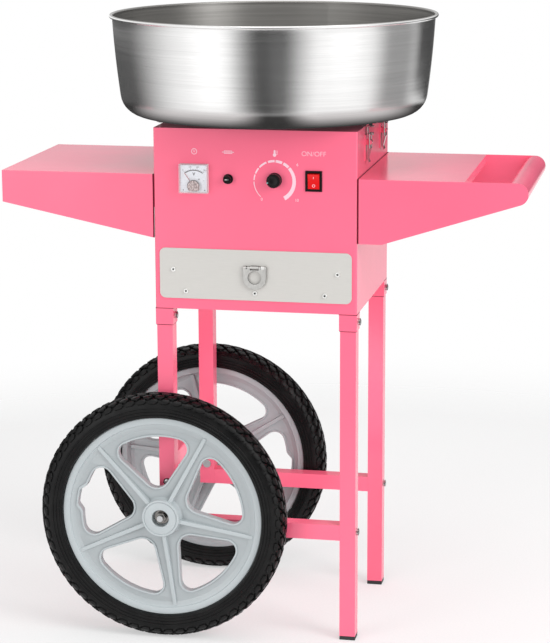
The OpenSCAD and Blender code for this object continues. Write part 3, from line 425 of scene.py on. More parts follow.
def pinkPaint():  # glossy powder coat with a little orange peel
    s = Shade("pinkPaint")
    at = s.place()
    cloud = s.noise(at, paint["cloud"], 3)
    peel = s.noise(at, paint["peel"], 2, 0.55)
    grain = s.noise(at, paint["grain"], 1)
    gloss = s.spread(cloud + 0.3 * peel, 0.45, 0.85, *paint["rough"])
    return s.surface(Base_Color=s.tones(cloud, paint["colour"], 0.97, 1.03), Roughness=gloss, IOR=1.5,
                     Normal=s.bump(peel * 0.8 + grain * 0.2, paint["depth"]))


# the inside tone is far darker than the outside one: painted shade in the bowl's hollow
bowlFinish = {"outside": (0.87, 0.865, 0.86), "inside": (0.26, 0.253, 0.241), "rough": (0.16, 0.23),
              "dull": 0.16, "depth": 0.0022 * mm, "fine": (7, 1700), "broad": (3, 170), "handled": 9}


def bowlSteel():  # brushed round the bowl's axis, rougher inside, and painted darker inside as painted shade
    b = bowlFinish
    s = Shade("bowlSteel")
    lo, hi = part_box("bowl")
    at = s.stretch(s.place(), (1, 1, 1), (-(lo.x + hi.x) / 2, 0, -lo.z))
    x, y, z = s.axes(at)
    reach = (x * x + y * y) ** 0.5
    nx, ny, nz = s.axes(s.add("ShaderNodeNewGeometry", out="Normal"))
    inside = s.spread((nx * x + ny * y) / reach - nz, -0.3, 0.3, 1.0, 0.0)
    along = z + reach
    lines = []
    for (around, up), detail, rough in ((b["fine"], 4, 0.65), (b["broad"], 2, 0.5)):
        drawn = s.add("ShaderNodeCombineXYZ", None, {0: x * around, 1: y * around, 2: along * up})
        lines.append(s.noise(drawn, 1, detail, rough))
    handled = s.noise(at, b["handled"], 3)
    streak = lines[0] * 0.7 + lines[1] * 0.3
    bright = s.tones(streak, b["outside"], 0.93, 1.05, 0.36, 0.64)
    # the inner face's darker tone is painted shade
    dull = s.tones(streak, b["inside"], 0.85, 1.12, 0.36, 0.64)
    gloss = s.spread(streak * 0.7 + handled * 0.3, *centre, *b["rough"])
    return s.surface(Base_Color=s.mix(inside, bright, dull), Metallic=1.0, Anisotropic=0.7,
                     Anisotropic_Rotation=0.25, Roughness=gloss + inside * b["dull"],
                     Normal=s.bump(lines[0], b["depth"]))


plating = {"marks": 900, "long": 0.25, "cloud": 60, "depth": 0.004 * mm}


def platedSteel(name, colour, rough):  # zinc or nickel, with fine handling marks
    s = Shade(name)
    at = s.place()
    marks = s.noise(s.stretch(at, (1, 1, plating["long"])), plating["marks"], 3, 0.6)
    cloud = s.noise(at, plating["cloud"], 2)
    return s.surface(Base_Color=s.tones(cloud * 0.6 + marks * 0.4, colour, 0.82, 1.08), Metallic=1.0,
                     Roughness=s.spread(marks, *most, rough * 0.8, rough * 1.25),
                     Normal=s.bump(marks, plating["depth"]))


# side: the dark tone of faces that don't look to the front, painted shade
pullTone = {"face": (0.72, 0.71, 0.685), "side": (0.1, 0.095, 0.09, 1), "rough": (0.28, 0.4),
            "marks": 1500, "long": 0.12, "depth": 0.004 * mm}


def pullNickel():  # satin faces; the sides not facing the front painted dark, painted shade along its edges
    s = Shade("pullNickel")
    marks = s.noise(s.stretch(s.place(), (1, 1, pullTone["long"])), pullTone["marks"], 3, 0.6)
    ahead = s.axes(s.add("ShaderNodeTexCoord", out="Normal"))[1]
    satin = s.tones(marks, pullTone["face"], 0.88, 1.08)
    # sides turned away from the front take the dark tone: painted shade
    tone = s.mix(s.spread(abs(ahead), 0.35, 0.8), pullTone["side"], satin)
    return s.surface(Base_Color=tone, Metallic=1.0, Roughness=s.spread(marks, *most, *pullTone["rough"]),
                     Normal=s.bump(marks, pullTone["depth"]))


def mouldedPlastic(name, colour, rough, grain=1600, depth=0.012, coat=0.0, shine=0.5):
    s = Shade(name)  # with the fine spark texture of its mould
    at = s.place()
    spark = s.noise(at, grain, 2, 0.6)
    flow = s.noise(at, flowScale, 3)
    gloss = s.spread(spark * 0.5 + flow * 0.5, *centre, rough * 0.88, rough * 1.12)
    return s.surface(Base_Color=s.tones(flow, colour, 0.94, 1.05), Roughness=gloss, Coat_Weight=coat,
                     Specular_IOR_Level=shine, Normal=s.bump(spark, depth * mm))


tyreFinish = {"colour": (0.004, 0.004, 0.0042, 1), "dust": (0.009, 0.0089, 0.0088, 1),
              "rough": (0.24, 0.36), "grain": 1300, "bloom": 26, "depth": 0.015 * mm}


def tyreRubber():  # black rubber, a little paler where it is scuffed
    s = Shade("tyreRubber")
    at = s.place()
    grain = s.noise(at, tyreFinish["grain"], 3, 0.65)
    bloom = s.noise(at, tyreFinish["bloom"], 4, 0.6)
    tone = s.mix(s.spread(bloom, 0.45, 0.75), tyreFinish["colour"], tyreFinish["dust"])
    gloss = s.spread(bloom * 0.6 + grain * 0.4, *centre, *tyreFinish["rough"])
    return s.surface(Base_Color=tone, Roughness=gloss, Specular_IOR_Level=0.2,
                     Normal=s.bump(grain, tyreFinish["depth"]))


drawerTone = {"dark": (0.56, 0.547, 0.52, 1), "pale": (0.585, 0.573, 0.545, 1), "rough": (0.36, 0.44),
              "rolled": 46, "short": 26, "grain": 1900, "depth": 0.006 * mm}


def drawerPaint():  # satin pale grey on sheet steel
    d = drawerTone
    s = Shade("drawerPaint")
    at = s.place()
    rolled = s.noise(s.stretch(at, (1, 1, d["short"])), d["rolled"], 3, 0.6)
    grain = s.noise(at, d["grain"], 2)
    return s.surface(Base_Color=s.mix(s.spread(rolled, *centre), d["dark"], d["pale"]),
                     Roughness=s.spread(rolled, *most, *d["rough"]), Normal=s.bump(grain, d["depth"]))


windowTone = {"colour": (0.93, 0.88, 0.9, 1), "haze": 900, "rough": (0.03, 0.08), "milky": (0.42, 0.05)}


def clearWindow():  # clear from the front, milky through its side walls
    s = Shade("clearWindow")
    haze = s.noise(s.place(), windowTone["haze"], 2)
    ahead = s.axes(s.add("ShaderNodeNewGeometry", out="Normal"))[1]
    side = s.spread(abs(ahead), 0.4, 0.9, *windowTone["milky"])
    return s.surface(Base_Color=windowTone["colour"], Alpha=side + haze * 0.05,
                     Roughness=s.spread(haze, *most, *windowTone["rough"]))


inkFinish = {"cover": 1100, "rough": 0.4, "depth": 0.004 * mm}


def printInk(name, colour):  # screen print, slightly uneven
    s = Shade(name)
    cover = s.noise(s.place(), inkFinish["cover"], 3)
    return s.surface(Base_Color=s.tones(cover, colour, 0.93, 1.04), Roughness=inkFinish["rough"],
                     Normal=s.bump(cover, inkFinish["depth"]))


heaterTone = {"dark": (0.23, 0.2, 0.17, 1), "pale": (0.42, 0.39, 0.35, 1), "rough": (0.3, 0.5),
              "blotch": 120, "depth": 0.01 * mm}


def heaterMesh():  # metal of the heated band, blotched by its heat
    s = Shade("heaterMesh")
    blotch = s.noise(s.place(), heaterTone["blotch"], 3)
    tone = s.mix(s.spread(blotch, *most), heaterTone["dark"], heaterTone["pale"])
    return s.surface(Base_Color=tone, Metallic=1.0, Roughness=s.spread(blotch, *most, *heaterTone["rough"]),
                     Normal=s.bump(blotch, heaterTone["depth"]))


# deep: the web's darker tone, painted shade in the wheel's hollows
wheelTone = {"colour": (0.455, 0.5, 0.515, 1), "deep": (0.38, 0.415, 0.428, 1),
             "flow": (0.5, 0.53, 0.54, 1), "web": (185.4 * mm, 187.6 * mm), "rough": (0.32, 0.4),
             "spark": 1500, "depth": 0.012 * mm}


def wheelPlastic():  # grey moulding; the web in its hollows painted darker, painted shade
    w = wheelTone
    s = Shade("wheelPlastic")
    at = s.place()
    spark = s.noise(at, w["spark"], 2, 0.6)
    flow = s.noise(at, flowScale, 3)
    # below the lips, rim and ribs the web takes the darker tone: painted shade
    raised = s.spread(abs(s.axes(at)[1]), *w["web"])
    tone = s.mix(raised, w["deep"], w["colour"])
    tone = s.mix(s.spread(flow, *most, 0, 0.12), tone, w["flow"])
    return s.surface(Base_Color=tone, Roughness=s.spread(spark * 0.5 + flow * 0.5, *centre, *w["rough"]),
                     Normal=s.bump(spark, w["depth"]))


finish = {
    "pink_paint": pinkPaint(),
    "bowl_steel": bowlSteel(),
    "zinc_steel": platedSteel("zincSteel", (0.6, 0.61, 0.62), 0.34),
    "bolt_steel": platedSteel("boltSteel", (0.6, 0.6, 0.59), 0.22),
    "latch_steel": platedSteel("latchSteel", (0.6, 0.59, 0.58), 0.12),
    "pull_nickel": pullNickel(),
    "shaft_steel": platedSteel("shaftSteel", (0.55, 0.55, 0.55), 0.24),
    "ring_brass": platedSteel("ringBrass", (0.72, 0.52, 0.2), 0.28),
    "heater_mesh": heaterMesh(),
    "drawer_paint": drawerPaint(),
    "motor_paint": mouldedPlastic("motorPaint", (0.05, 0.053, 0.058), 0.4),
    "brush_block": mouldedPlastic("brushBlock", (0.17, 0.085, 0.035), 0.45),
    "black_plastic": mouldedPlastic("blackPlastic", (0.007, 0.006, 0.0065), 0.28, shine=0.2),
    "foot_rubber": mouldedPlastic("footRubber", (0.02, 0.02, 0.021), 0.6, 900, 0.03),
    "rocker_red": mouldedPlastic("rockerRed", (0.75, 0.006, 0.008), 0.2, 700, 0.004, 0.1, 0.3),
    "meter_plastic": mouldedPlastic("meterPlastic", (0.8, 0.8, 0.81), 0.2, 1200, 0.004),
    "meter_face": mouldedPlastic("meterFace", (0.78, 0.81, 0.86), 0.45, 1200, 0.003),
    "meter_window": clearWindow(),
    "needle_red": mouldedPlastic("needleRed", (0.32, 0.035, 0.03), 0.4, 900, 0.003),
    "wheel_plastic": wheelPlastic(),
    "tyre_rubber": tyreRubber(),
}
paleInk = printInk("paleInk", (0.93, 0.61, 0.7))
# dark ink prints the dial's scale and also paints the shadow line on the meter cover
darkInkAndShade = printInk("darkInkAndShade", (0.035, 0.035, 0.04))
tealInk = printInk("tealInk", (0.3, 0.62, 0.6))
for name, obj in nodes.items():
    give(obj, finish[slotOf[name]])
print("finishes made:", len(finish))


# CAD nodes whose shape stays, with the edges that a press or a mould leaves

legs = ["front_right_leg", "rear_right_leg", "front_left_leg", "rear_left_leg"]
softEdges = {
    0.9 * mm: ["cabinet"],
    0.4 * mm: ["left_shelf", "right_shelf", "drawer_front", "back_cover", "leg_sockets"],
    1.6 * mm: legs + ["front_rail", "rear_rail", "side_rail", "leg_feet"],
    0.3 * mm: ["latch_bases", "bowl_catches", "pull_base", "pull_ring", "drawer_box", "motor",
               "lever_front_right", "lever_rear_right", "lever_front_left", "lever_rear_left"],
    0.5 * mm: ["frame_fasteners", "axle_nuts", "stub_axles", "power_inlet", "switch_bezel", "switch_rocker",
               "fuse_holder", "fuse_cap", "voltmeter_case", "drawer_screws"],
}
special = {"axle_nuts": platedSteel("nutSteel", (0.24, 0.23, 0.22), 0.2),
           "drawer_screws": platedSteel("screwSteel", (0.85, 0.85, 0.83), 0.5)}
for width, names in softEdges.items():
    for name in names:
        dress(softCopy(name, width), special.get(name, finish[slotOf[name]]), name)
print("edges rounded:", sum(len(names) for names in softEdges.values()))


# bowl

bowlShape = {"rim": 260 * mm, "bead": 2.8 * mm, "high": 163.7 * mm, "wall": 1 * mm, "corner": 34 * mm,
             "lean": (3.1, 7.7), "lift": 9 * mm, "foot": 140 * mm, "hole": 12 * mm, "neck": 4.5 * mm,
             "steps": 224, "cornerSteps": 9, "wallSteps": 8, "rollSteps": 16}


def makeBowl():  # the wall is slightly round, and the floor stands on a pressed foot
    b = bowlShape
    lo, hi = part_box("bowl")
    upper, lower = b["lean"]
    lean, turn = math.radians(upper), math.radians(lower)
    wall, lift, corner, high = b["wall"], b["lift"], b["corner"], b["high"]
    top = b["rim"] - 2 * b["bead"] + wall
    middle = lift + corner
    sweep = (high - middle + corner * math.sin(turn)) / (math.sin(turn) - math.sin(lean))
    wallX, wallZ = top - sweep * math.cos(lean), high + sweep * math.sin(lean)
    cornerX = wallX + (sweep - corner) * math.cos(turn)
    outer = arc(cornerX, middle, corner, -90, -lower, b["cornerSteps"])
    outer += arc(wallX, wallZ, sweep, -lower, -upper, b["wallSteps"])[1:-1]
    inner = arc(wallX, wallZ, sweep - wall, -upper, -lower, b["wallSteps"])[1:]
    inner += arc(cornerX, middle, corner - wall, -lower, -90, b["cornerSteps"])[1:]
    roll = arc(b["rim"] - b["bead"], high, b["bead"], 200, -120, b["rollSteps"])  # rolled outwards
    neck = top - b["neck"] * math.tan(lean)
    foot, rise = b["foot"], lift / 2
    points = [(b["hole"], 0), (foot, 0), (foot + rise, lift)] + outer
    points += [(neck, high - b["neck"])] + roll[::-1] + [(neck - wall, high - b["neck"])] + inner
    points += [(foot + rise - wall / 2, lift + wall), (foot - wall / 2, wall), (b["hole"], wall)]
    bowl = lathe("bowlSheet", points, b["steps"])
    bowl.location = ((lo.x + hi.x) / 2, 0, lo.z)
    return smooth(settle(bowl), 50)


dress(makeBowl(), finish["bowl_steel"], "bowl")
print("bowl done")


# wheels; heights from the wheel's middle plane, outwards

wheelShape = {"plane": 176 * mm, "half": 14 * mm, "window": 130.5 * mm, "corner": 16 * mm, "apex": 20 * mm,
              "hubHalf": 19.5 * mm, "rimHalf": 14.5 * mm, "spokes": 5, "web": (-1 * mm, 9 * mm),
              "webRim": 153 * mm, "lip": 3.2 * mm, "lipRise": 2.2 * mm, "turn": (-10.5, 4.0),
              "hub": 30 * mm, "hubIn": -22.75 * mm, "hubOut": 24 * mm, "recess": (13.8 * mm, 13 * mm),
              "bore": 5.35 * mm,
              "notch": 8.4 * mm, "notchEase": 0.5 * mm, "notchAt": (10.2, 9.7, 9.2, 4.8), "notched": 2,
              "rib": 6.4 * mm, "ribRound": 0.9 * mm, "ribRoot": 3 * mm, "ribEnds": (149 * mm, 90 * mm),
              "ribOut": (11.6, 13.6, 19), "ribIn": (-6, -8, -13),
              "rimFace": [(162, 13.2), (161.2, 14), (152.6, 14), (151.6, 13.6), (150.4, 11.2), (147, 10.1),
                          (143, 9.6), (141.5, 8.6)],
              "rimUnder": [(141.5, 0.4), (144, -1), (149, -3)],
              "rimBack": [(151.4, 1.2), (152.4, 0), (161.2, 0), (162, 0.8)],
              "hubEdge": [(0, 1.6), (0.5, 0.4), (1.4, 0), (2.8, 0), (3.4, 0.5), (3.6, 1.3), (4.1, 1.3),
                          (4.4, 0.5), (5.2, 0.2)]}


def windowOutline(turn, grow=0.0, notch=False):
    w = wheelShape
    half = 180 / w["spokes"]
    apexX = (w["hubHalf"] + w["apex"]) / math.sin(math.radians(half))
    reach = w["window"] - w["corner"]
    swing = half - math.degrees(math.asin((w["rimHalf"] + w["corner"]) / reach))
    cx, cy = reach * math.cos(math.radians(swing)), reach * math.sin(math.radians(swing))
    span = math.hypot(cx - apexX, cy)
    edge = math.degrees(math.atan2(cy, cx - apexX) + math.acos((w["apex"] - w["corner"]) / span))
    outerR = w["window"] + grow
    points = arc(cx, cy, w["corner"] + grow, edge, swing, 7)
    if notch:  # room for the valve, with eased corners
        side = math.degrees(grow / outerR)
        start, ease, near, flat = [degrees + side for degrees in w["notchAt"]]
        eased = outerR + w["notchEase"]
        points += arc(0, 0, outerR, swing, start, 3)
        points += arc(0, 0, eased, ease, near, 1)
        points += arc(0, 0, outerR + w["notch"], flat, -flat, 5)
        points += arc(0, 0, eased, -near, -ease, 1)
        points += arc(0, 0, outerR, -start, -swing, 3)
    else:
        points += arc(0, 0, outerR, swing, -swing, 12)[1:-1]
    points += arc(cx, -cy, w["corner"] + grow, -swing, -edge, 7)
    points += arc(apexX, 0, w["apex"] + grow, 360 - edge, edge, 10)
    c, s = math.cos(math.radians(turn)), math.sin(math.radians(turn))
    return [(x * c - y * s, x * s + y * c) for x, y in points]


def makeRib(turn, profile, name):  # profile in radius and height, wide across the spoke
    obj = trace(name, profile)
    wide = wheelShape["rib"]
    bpy.ops.transform.translate(value=(0, -wide / 2, 0))
    bpy.ops.mesh.extrude_region_move(TRANSFORM_OT_translate={"value": (0, wide, 0)})
    roundEdges(mend(obj), wheelShape["ribRound"])
    obj.rotation_euler = (0, 0, math.radians(turn))
    return settle(obj)


def makeRim():
    w = wheelShape
    rim = [(r * mm, z * mm) for r, z in w["rimFace"]]
    rim += [(r * mm, w["web"][0] + z * mm) for r, z in w["rimUnder"]]
    rim += [(r * mm, z * mm - w["half"]) for r, z in w["rimBack"]]
    return smooth(lathe("wheelRim", rim, 180), 28)


def makeHub():
    w = wheelShape
    low, high = w["web"]
    r, depth = w["recess"]
    edge, out, back, bore = w["hub"], w["hubOut"], w["hubIn"], w["bore"]
    hub = [(edge - inward * mm, out - down * mm) for inward, down in w["hubEdge"]]
    hub += [(r + 0.9 * mm, out - 0.2 * mm), (r, out - 1 * mm)]
    hub += [(r, out - depth), (bore, out - depth), (bore, back)]
    foot = [(-5, back), (-4, back + 1 * mm), (-3, low - 4 * mm), (1, low), (3.2, high - 0.5 * mm),
            (1.2, high + 2 * mm), (0.2, high + 5 * mm)]
    hub += [(edge + outward * mm, z) for outward, z in foot]
    return smooth(lathe("wheelHub", hub, 96), 40)


def makeWheel():
    w = wheelShape
    low, high = w["web"]
    step = 360 / w["spokes"]
    turns = [(i + 0.5) * step for i in range(w["spokes"])]
    holes = [windowOutline(t, 0.3 * mm, i == w["notched"]) for i, t in enumerate(turns)]
    web = plate("wheelWeb", [ring(0, 0, w["webRim"], 120)] + holes, high - low, 0.3 * mm, 1)
    web.location.z = (low + high) / 2
    pieces = [smooth(settle(web))]
    for i, t in enumerate(turns):
        border = [windowOutline(t, grow, i == w["notched"]) for grow in (w["lip"], 0)]
        lip = plate("windowLip", border, high - low + 2 * w["lipRise"], 1.2 * mm, 3)
        lip.location.z = (low + high) / 2
        pieces.append(smooth(settle(lip), 50))
    root = w["hub"] - w["ribRoot"]
    far, bend = w["ribEnds"]
    profiles = {}
    for name, foot in (("ribOut", high - 1 * mm), ("ribIn", low + 1 * mm)):
        tip, knee, heel = [z * mm for z in w[name]]
        profiles[name] = [(root, foot), (far, foot), (far, tip), (bend, knee), (root, heel)]
    for i in range(w["spokes"]):
        for name, profile in profiles.items():
            pieces.append(makeRib(i * step, profile, name))
    return joinUp(pieces + [makeRim(), makeHub()], "frontWheelMoulded")


def placeWheel(obj, node, turn):  # local +Z looks away from the cart
    middle = middleOf(node)
    outward = -1 if middle.y < 0 else 1
    obj.matrix_world = (moved((middle.x, outward * wheelShape["plane"], middle.z))
                        @ turned(0 if outward < 0 else math.pi, "Z") @ quarter("X")
                        @ turned(math.radians(turn), "Z"))
    return settle(obj)


def bothSides(front, rearName, kind, slotName, turns):  # the front one, and its twin at the rear
    pair = {"front_" + kind: front, "rear_" + kind: twin(front, rearName)}
    for (node, obj), turn in zip(pair.items(), turns):
        dress(placeWheel(obj, node, turn), finish[slotName], node)


bothSides(makeWheel(), "rearWheelMoulded", "wheel", "wheel_plastic", wheelShape["turn"])
print("wheels done")


# tyres: a carcass with three rows of blocks on each side

tyreShape = {"blocks": 62, "stagger": 0.27, "tip": 0.12, "flank": 0.62, "lean": 0.1, "edge": 0.9 * mm,
             "sunk": 2 * mm, "turn": (0, 3),
             "rows": [{"at": (188.9 * mm, 17.9 * mm), "tilt": 52, "rise": 2.4 * mm, "long": 15.6 * mm,
                       "wide": 8 * mm, "phase": 0},
                      {"at": (193.2 * mm, 11.8 * mm), "tilt": 20, "rise": 4 * mm, "long": 15.2 * mm,
                       "wide": 7.8 * mm, "phase": 0.5},
                      {"at": (194.6 * mm, 4.3 * mm), "tilt": 3, "rise": 4.7 * mm, "long": 15 * mm,
                       "wide": 7 * mm, "phase": 0.08}],
             "side": [(162.3, 15), (162.4, 18.2), (163.6, 20), (166.2, 20.6), (166.8, 21.7), (168, 21.7),
                      (168.6, 20.6), (171.2, 20.9), (171.8, 22), (173, 22), (173.6, 20.9), (176.2, 21.1),
                      (176.8, 22.2), (178, 22.2), (178.6, 21.1), (181, 21), (184.4, 20.2), (188.4, 18.2),
                      (191.4, 15.2), (193.6, 11), (194.6, 5)]}


def treadBlock(row, flip):  # a lozenge with blunt ends, standing on the carcass
    t = tyreShape
    half, side = row["long"] / 2, row["wide"] / 2
    tip, flank, lean = t["tip"] * side, t["flank"] * half, t["lean"] * row["long"] * flip
    outline = [(-half, tip), (-flank + lean, side), (flank + lean, side),
               (half, -tip), (flank - lean, -side), (-flank - lean, -side)]
    deep = row["rise"] + t["sunk"]
    block = plate("block", [outline], deep, t["edge"], 1)
    r, z = row["at"]
    turn = 2 * math.pi / t["blocks"] * (row["phase"] + (0 if flip > 0 else t["stagger"]))
    block.matrix_world = (turned(turn, "Z") @ moved((r, 0, z * flip))
                          @ turned(math.radians(90 - row["tilt"] * flip), "Y") @ quarter("Z")
                          @ moved((0, 0, row["rise"] - deep / 2)))
    return settle(block)


def roundTyre(obj):  # repeated round the wheel's axis
    dropSelection()
    bpy.ops.object.empty_add()
    guide = bpy.context.object
    guide.rotation_euler.z = 2 * math.pi / tyreShape["blocks"]
    bpy.context.view_layer.update()
    modify(obj, "ARRAY", count=tyreShape["blocks"], use_relative_offset=False, use_object_offset=True,
           offset_object=guide)
    discard(guide)
    return smooth(obj, 30)


def makeTyre():
    section = [(r * mm, z * mm) for r, z in tyreShape["side"]]
    section += [(r, -z) for r, z in section[::-1]]
    pieces = [smooth(lathe("carcass", section, 240), 40)]
    for flip in (1, -1):
        for row in tyreShape["rows"]:
            pieces.append(roundTyre(treadBlock(row, flip)))
    return joinUp(pieces, "frontTyreRubber")


bothSides(makeTyre(), "rearTyreRubber", "tyre", "tyre_rubber", tyreShape["turn"])
print("tyres done")


# print on the front panel

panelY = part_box("switch_bezel")[0].y + 2 * mm  # the painted face behind the switch's flange
panelPrint = {"thick": 0.16 * mm, "ring": 33.2 * mm, "ringDown": 2 * mm, "labelUp": 41.5 * mm,
              "words": 10.6 * mm, "thin": 0.014, "figures": 6.2 * mm, "line": 0.9 * mm, "meter": 4.6 * mm,
              "fuse": (6.5 * mm, 2.3 * mm), "fuseWire": 3 * mm,
              "heat": {"stem": 1.5 * mm, "bulb": 2.7 * mm, "down": 2.6 * mm, "up": 3.6 * mm,
                       "tick": (2.7 * mm, 4.9 * mm), "ticks": (3.4, 1.2, -1.0)},
              "bands": [(-138, -92, 0.9, 1.4), (-88, -72, 1.6, 2.0), (-69, -52, 2.1, 2.4),
                        (-48, -24, 2.6, 3.0), (-19, 0, 3.4, 3.6), (3, 22, 4.0, 4.1), (26, 44, 4.3, 4.5),
                        (47, 150, 4.8, 6.4)],
              "figuresAt": [("0", -20.5, -30.5), ("6", 35.5, 24.5), ("10", 34.5, -30.5)]}


def makePanelPrint():
    p = panelPrint
    heat, line, thick = p["heat"], p["line"], p["thick"]
    knob = middleOf("temperature_knob")
    labelZ = knob.z + p["labelUp"]
    flat = []
    for start, end, first, last in p["bands"]:  # angles clockwise from the top
        inner = (p["ring"] - first * mm, p["ring"] - last * mm)
        steps = max(4, (end - start) // 4)
        band = bandArc(knob.x, knob.z - p["ringDown"], inner, (p["ring"],) * 2, 90 - start, 90 - end, steps)
        flat.append(plate("dialBand", [band], thick))
    for text, x, z in p["figuresAt"]:
        flat.append(lettering(text, p["figures"], knob.x + x * mm, knob.z + z * mm, thick))
    meter, fuse, switch = [middleOf(n).x for n in ("voltmeter_lens", "fuse_cap", "switch_bezel")]
    flat.append(plate("meterSign", [ring(meter, labelZ, p["meter"] - i, 40) for i in (0, line)], thick))
    flat.append(lettering("V", p["figures"], meter, labelZ, thick))
    w, h = p["fuse"]
    flat.append(plate("fuseSign", [boxRound(fuse, labelZ, w - i, h - i) for i in (0, line)], thick))
    flat.append(plate("fuseWire", [boxRound(fuse, labelZ, w + p["fuseWire"], line / 2)], thick))
    tip = arc(knob.x, labelZ + heat["up"], heat["stem"], 0, 180, 8)
    gap = math.degrees(math.acos(heat["stem"] / heat["bulb"]))
    bulb = arc(knob.x, labelZ - heat["down"], heat["bulb"], 180 - gap, 360 + gap, 20)
    flat.append(plate("heatSign", [tip + bulb], thick))
    near, far = [knob.x + end for end in heat["tick"]]
    for up in heat["ticks"]:
        z = labelZ + up * mm
        flat.append(plate("heatTick", [box2d(near, far, z - line / 2, z + line / 2)], thick))
    flat.append(lettering("ON/OFF", p["words"], switch, labelZ, thick, p["thin"]))
    return onFront(joinUp(flat, "panelPrint"), panelY - thick / 2)


addOn(makePanelPrint(), paleInk, "cart")
print("panel print done")


# voltmeter: scale, figures, the cover over the needle's pivot

meterFace = {"arc": 25.4 * mm, "swing": 35, "drop": 12 * mm, "line": 1.5 * mm, "thick": 0.12 * mm,
             "ticks": 13, "tickHalf": 0.22 * mm, "tickLong": (2.6 * mm, 1.4 * mm),
             "figures": ("0", "100", "200", "300"), "figure": 3.2 * mm, "figureOut": 4.7 * mm,
             "volt": (6.8 * mm, 6.6 * mm, -0.03), "wave": (4.5 * mm, 15.6 * mm, 3.4 * mm),
             "dots": [(17, -18.4, 0.9, 1), (8, -1.2, 0.95, 4)],
             "cover": 10 * mm, "coverFoot": 7.6 * mm, "coverLid": (1.2 * mm, 0.5 * mm),
             "post": (7.4 * mm, 5 * mm, 1.4 * mm)}
dial = middleOf("voltmeter_dial")
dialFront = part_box("voltmeter_case")[0].y - 0.8 * mm
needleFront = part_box("voltmeter_needle")[0].y
pivotZ = dial.z - meterFace["drop"]


def makeMeterScale():
    m = meterFace
    r, thick = m["arc"], m["thick"]
    low, high = 90 + m["swing"], 90 - m["swing"]
    line = bandArc(dial.x, pivotZ, (r - m["line"],) * 2, (r, r), low, high, 24)
    flat = [plate("scaleArc", [line], thick)]
    half = math.degrees(m["tickHalf"] / r)
    for i in range(m["ticks"]):
        turn = low + (high - low) * i / (m["ticks"] - 1)
        long = m["tickLong"][0 if i % 4 == 0 else 1]
        tick = bandArc(dial.x, pivotZ, (r - 0.1 * mm,) * 2, (r + long,) * 2, turn + half, turn - half, 2)
        flat.append(plate("tick", [tick], thick))
    out = r + m["figureOut"]
    for i, text in enumerate(m["figures"]):
        turn = math.radians(low + (high - low) * i / (len(m["figures"]) - 1))
        x, z = dial.x + out * math.cos(turn), pivotZ + out * math.sin(turn)
        flat.append(lettering(text, m["figure"], x, z, thick))
    size, up, thin = m["volt"]
    flat.append(lettering("V", size, dial.x, dial.z + up, thick * 1.2, thin))
    size, right, down = m["wave"]
    flat.append(lettering("~", size, dial.x + right, dial.z - down, thick))
    for side in (-1, 1):
        for across, up, size, layers in m["dots"]:
            dot = ring(dial.x + side * across * mm, dial.z + up * mm, size * mm, 16)
            flat.append(plate("dot", [dot], thick * layers))
    return onFront(joinUp(flat, "meterScale"), dialFront - thick / 2)


def makeMeterCover():
    m = meterFace
    foot = math.degrees(math.asin(m["coverFoot"] / m["cover"]))
    lid = plate("coverLid", [arc(dial.x, pivotZ, m["cover"], -foot, 180 + foot, 28)], *m["coverLid"])
    lid = onFront(lid, needleFront - 1.0 * mm)
    deep = dialFront - needleFront + 0.5 * mm
    across, down, size = m["post"]
    posts = []
    for side in (-1, 1):
        post = plate("coverPost", [ring(dial.x + side * across, pivotZ - down, size, 20)], deep)
        posts.append(onFront(post, dialFront - deep / 2))
    return joinUp([smooth(lid, 50)] + posts, "meterCover")


# a dark band along the top of the needle's cover: painted shadow line
def makeCoverShadowLine():
    r = meterFace["cover"] - 0.4 * mm
    band = bandArc(dial.x, pivotZ, (r - 0.7 * mm,) * 2, (r + 0.5 * mm,) * 2, 8, 172, 24)
    return onFront(plate("coverShadowLine", [band], 0.8 * mm, 0.2 * mm, 1), needleFront - 1.4 * mm)


# pale: the tone of the painted reflection streaks
coverTone = {"dark": (0.16, 0.1, 0.1, 1), "pale": (0.66, 0.53, 0.51, 1), "rough": (0.2, 0.34),
             "streak": 330, "long": (1.6, 1, 0.8), "depth": 0.01 * mm}


def coverPlastic():  # smoky, with pale streaks painted in: painted reflection of a clear dome over what lies under it
    c = coverTone
    s = Shade("meterCover")
    streak = s.noise(s.stretch(s.place(), c["long"]), c["streak"], 3, 0.6)
    return s.surface(Base_Color=s.mix(s.spread(streak, 0.4, 0.62), c["dark"], c["pale"]),
                     Roughness=s.spread(streak, *most, *c["rough"]), Normal=s.bump(streak, c["depth"]))


addOn(makeMeterScale(), darkInkAndShade, "cart")
addOn(makeMeterCover(), coverPlastic(), "cart")
# the cover's dark top band is painted shadow
addOn(makeCoverShadowLine(), darkInkAndShade, "cart")
print("voltmeter done")


# temperature knob; the lists give (inward, up) from its skirt's foot and (inward, down) from its crown

knobShape = {"radius": 11.5 * mm, "high": 13 * mm, "flutes": 26, "flute": 0.84 * mm, "spindle": 3 * mm,
             "seat": 8 * mm, "hollow": (7.5 * mm, 6 * mm), "dish": 0.5 * mm, "gap": 0.3 * mm,
             "skirt": [(0.4, 0), (0, 0.4), (0, 1.8), (0.8, 2.6), (1.6, 3.0)],
             "crown": [(1.6, 0.9), (3.1, 0.9), (3.3, 0.15), (3.6, 0), (4.2, 0), (4.6, 0.35)],
             "gripFoot": 2.6 * mm, "gripLess": 3.2 * mm, "gripWall": (0.35 * mm, 2.6 * mm),
             "pointer": 197.5, "bar": (7 * mm, 10.6 * mm, 0.75 * mm), "barThick": 0.6 * mm,
             "barDown": 0.45 * mm}


def fluted(r, depth, count, perFlute):
    points = []
    for i in range(count * perFlute):
        turn = 2 * math.pi * i / (count * perFlute)
        reach = r - depth * (0.5 + 0.5 * math.cos(count * turn))
        points.append((reach * math.cos(turn), reach * math.sin(turn)))
    return points


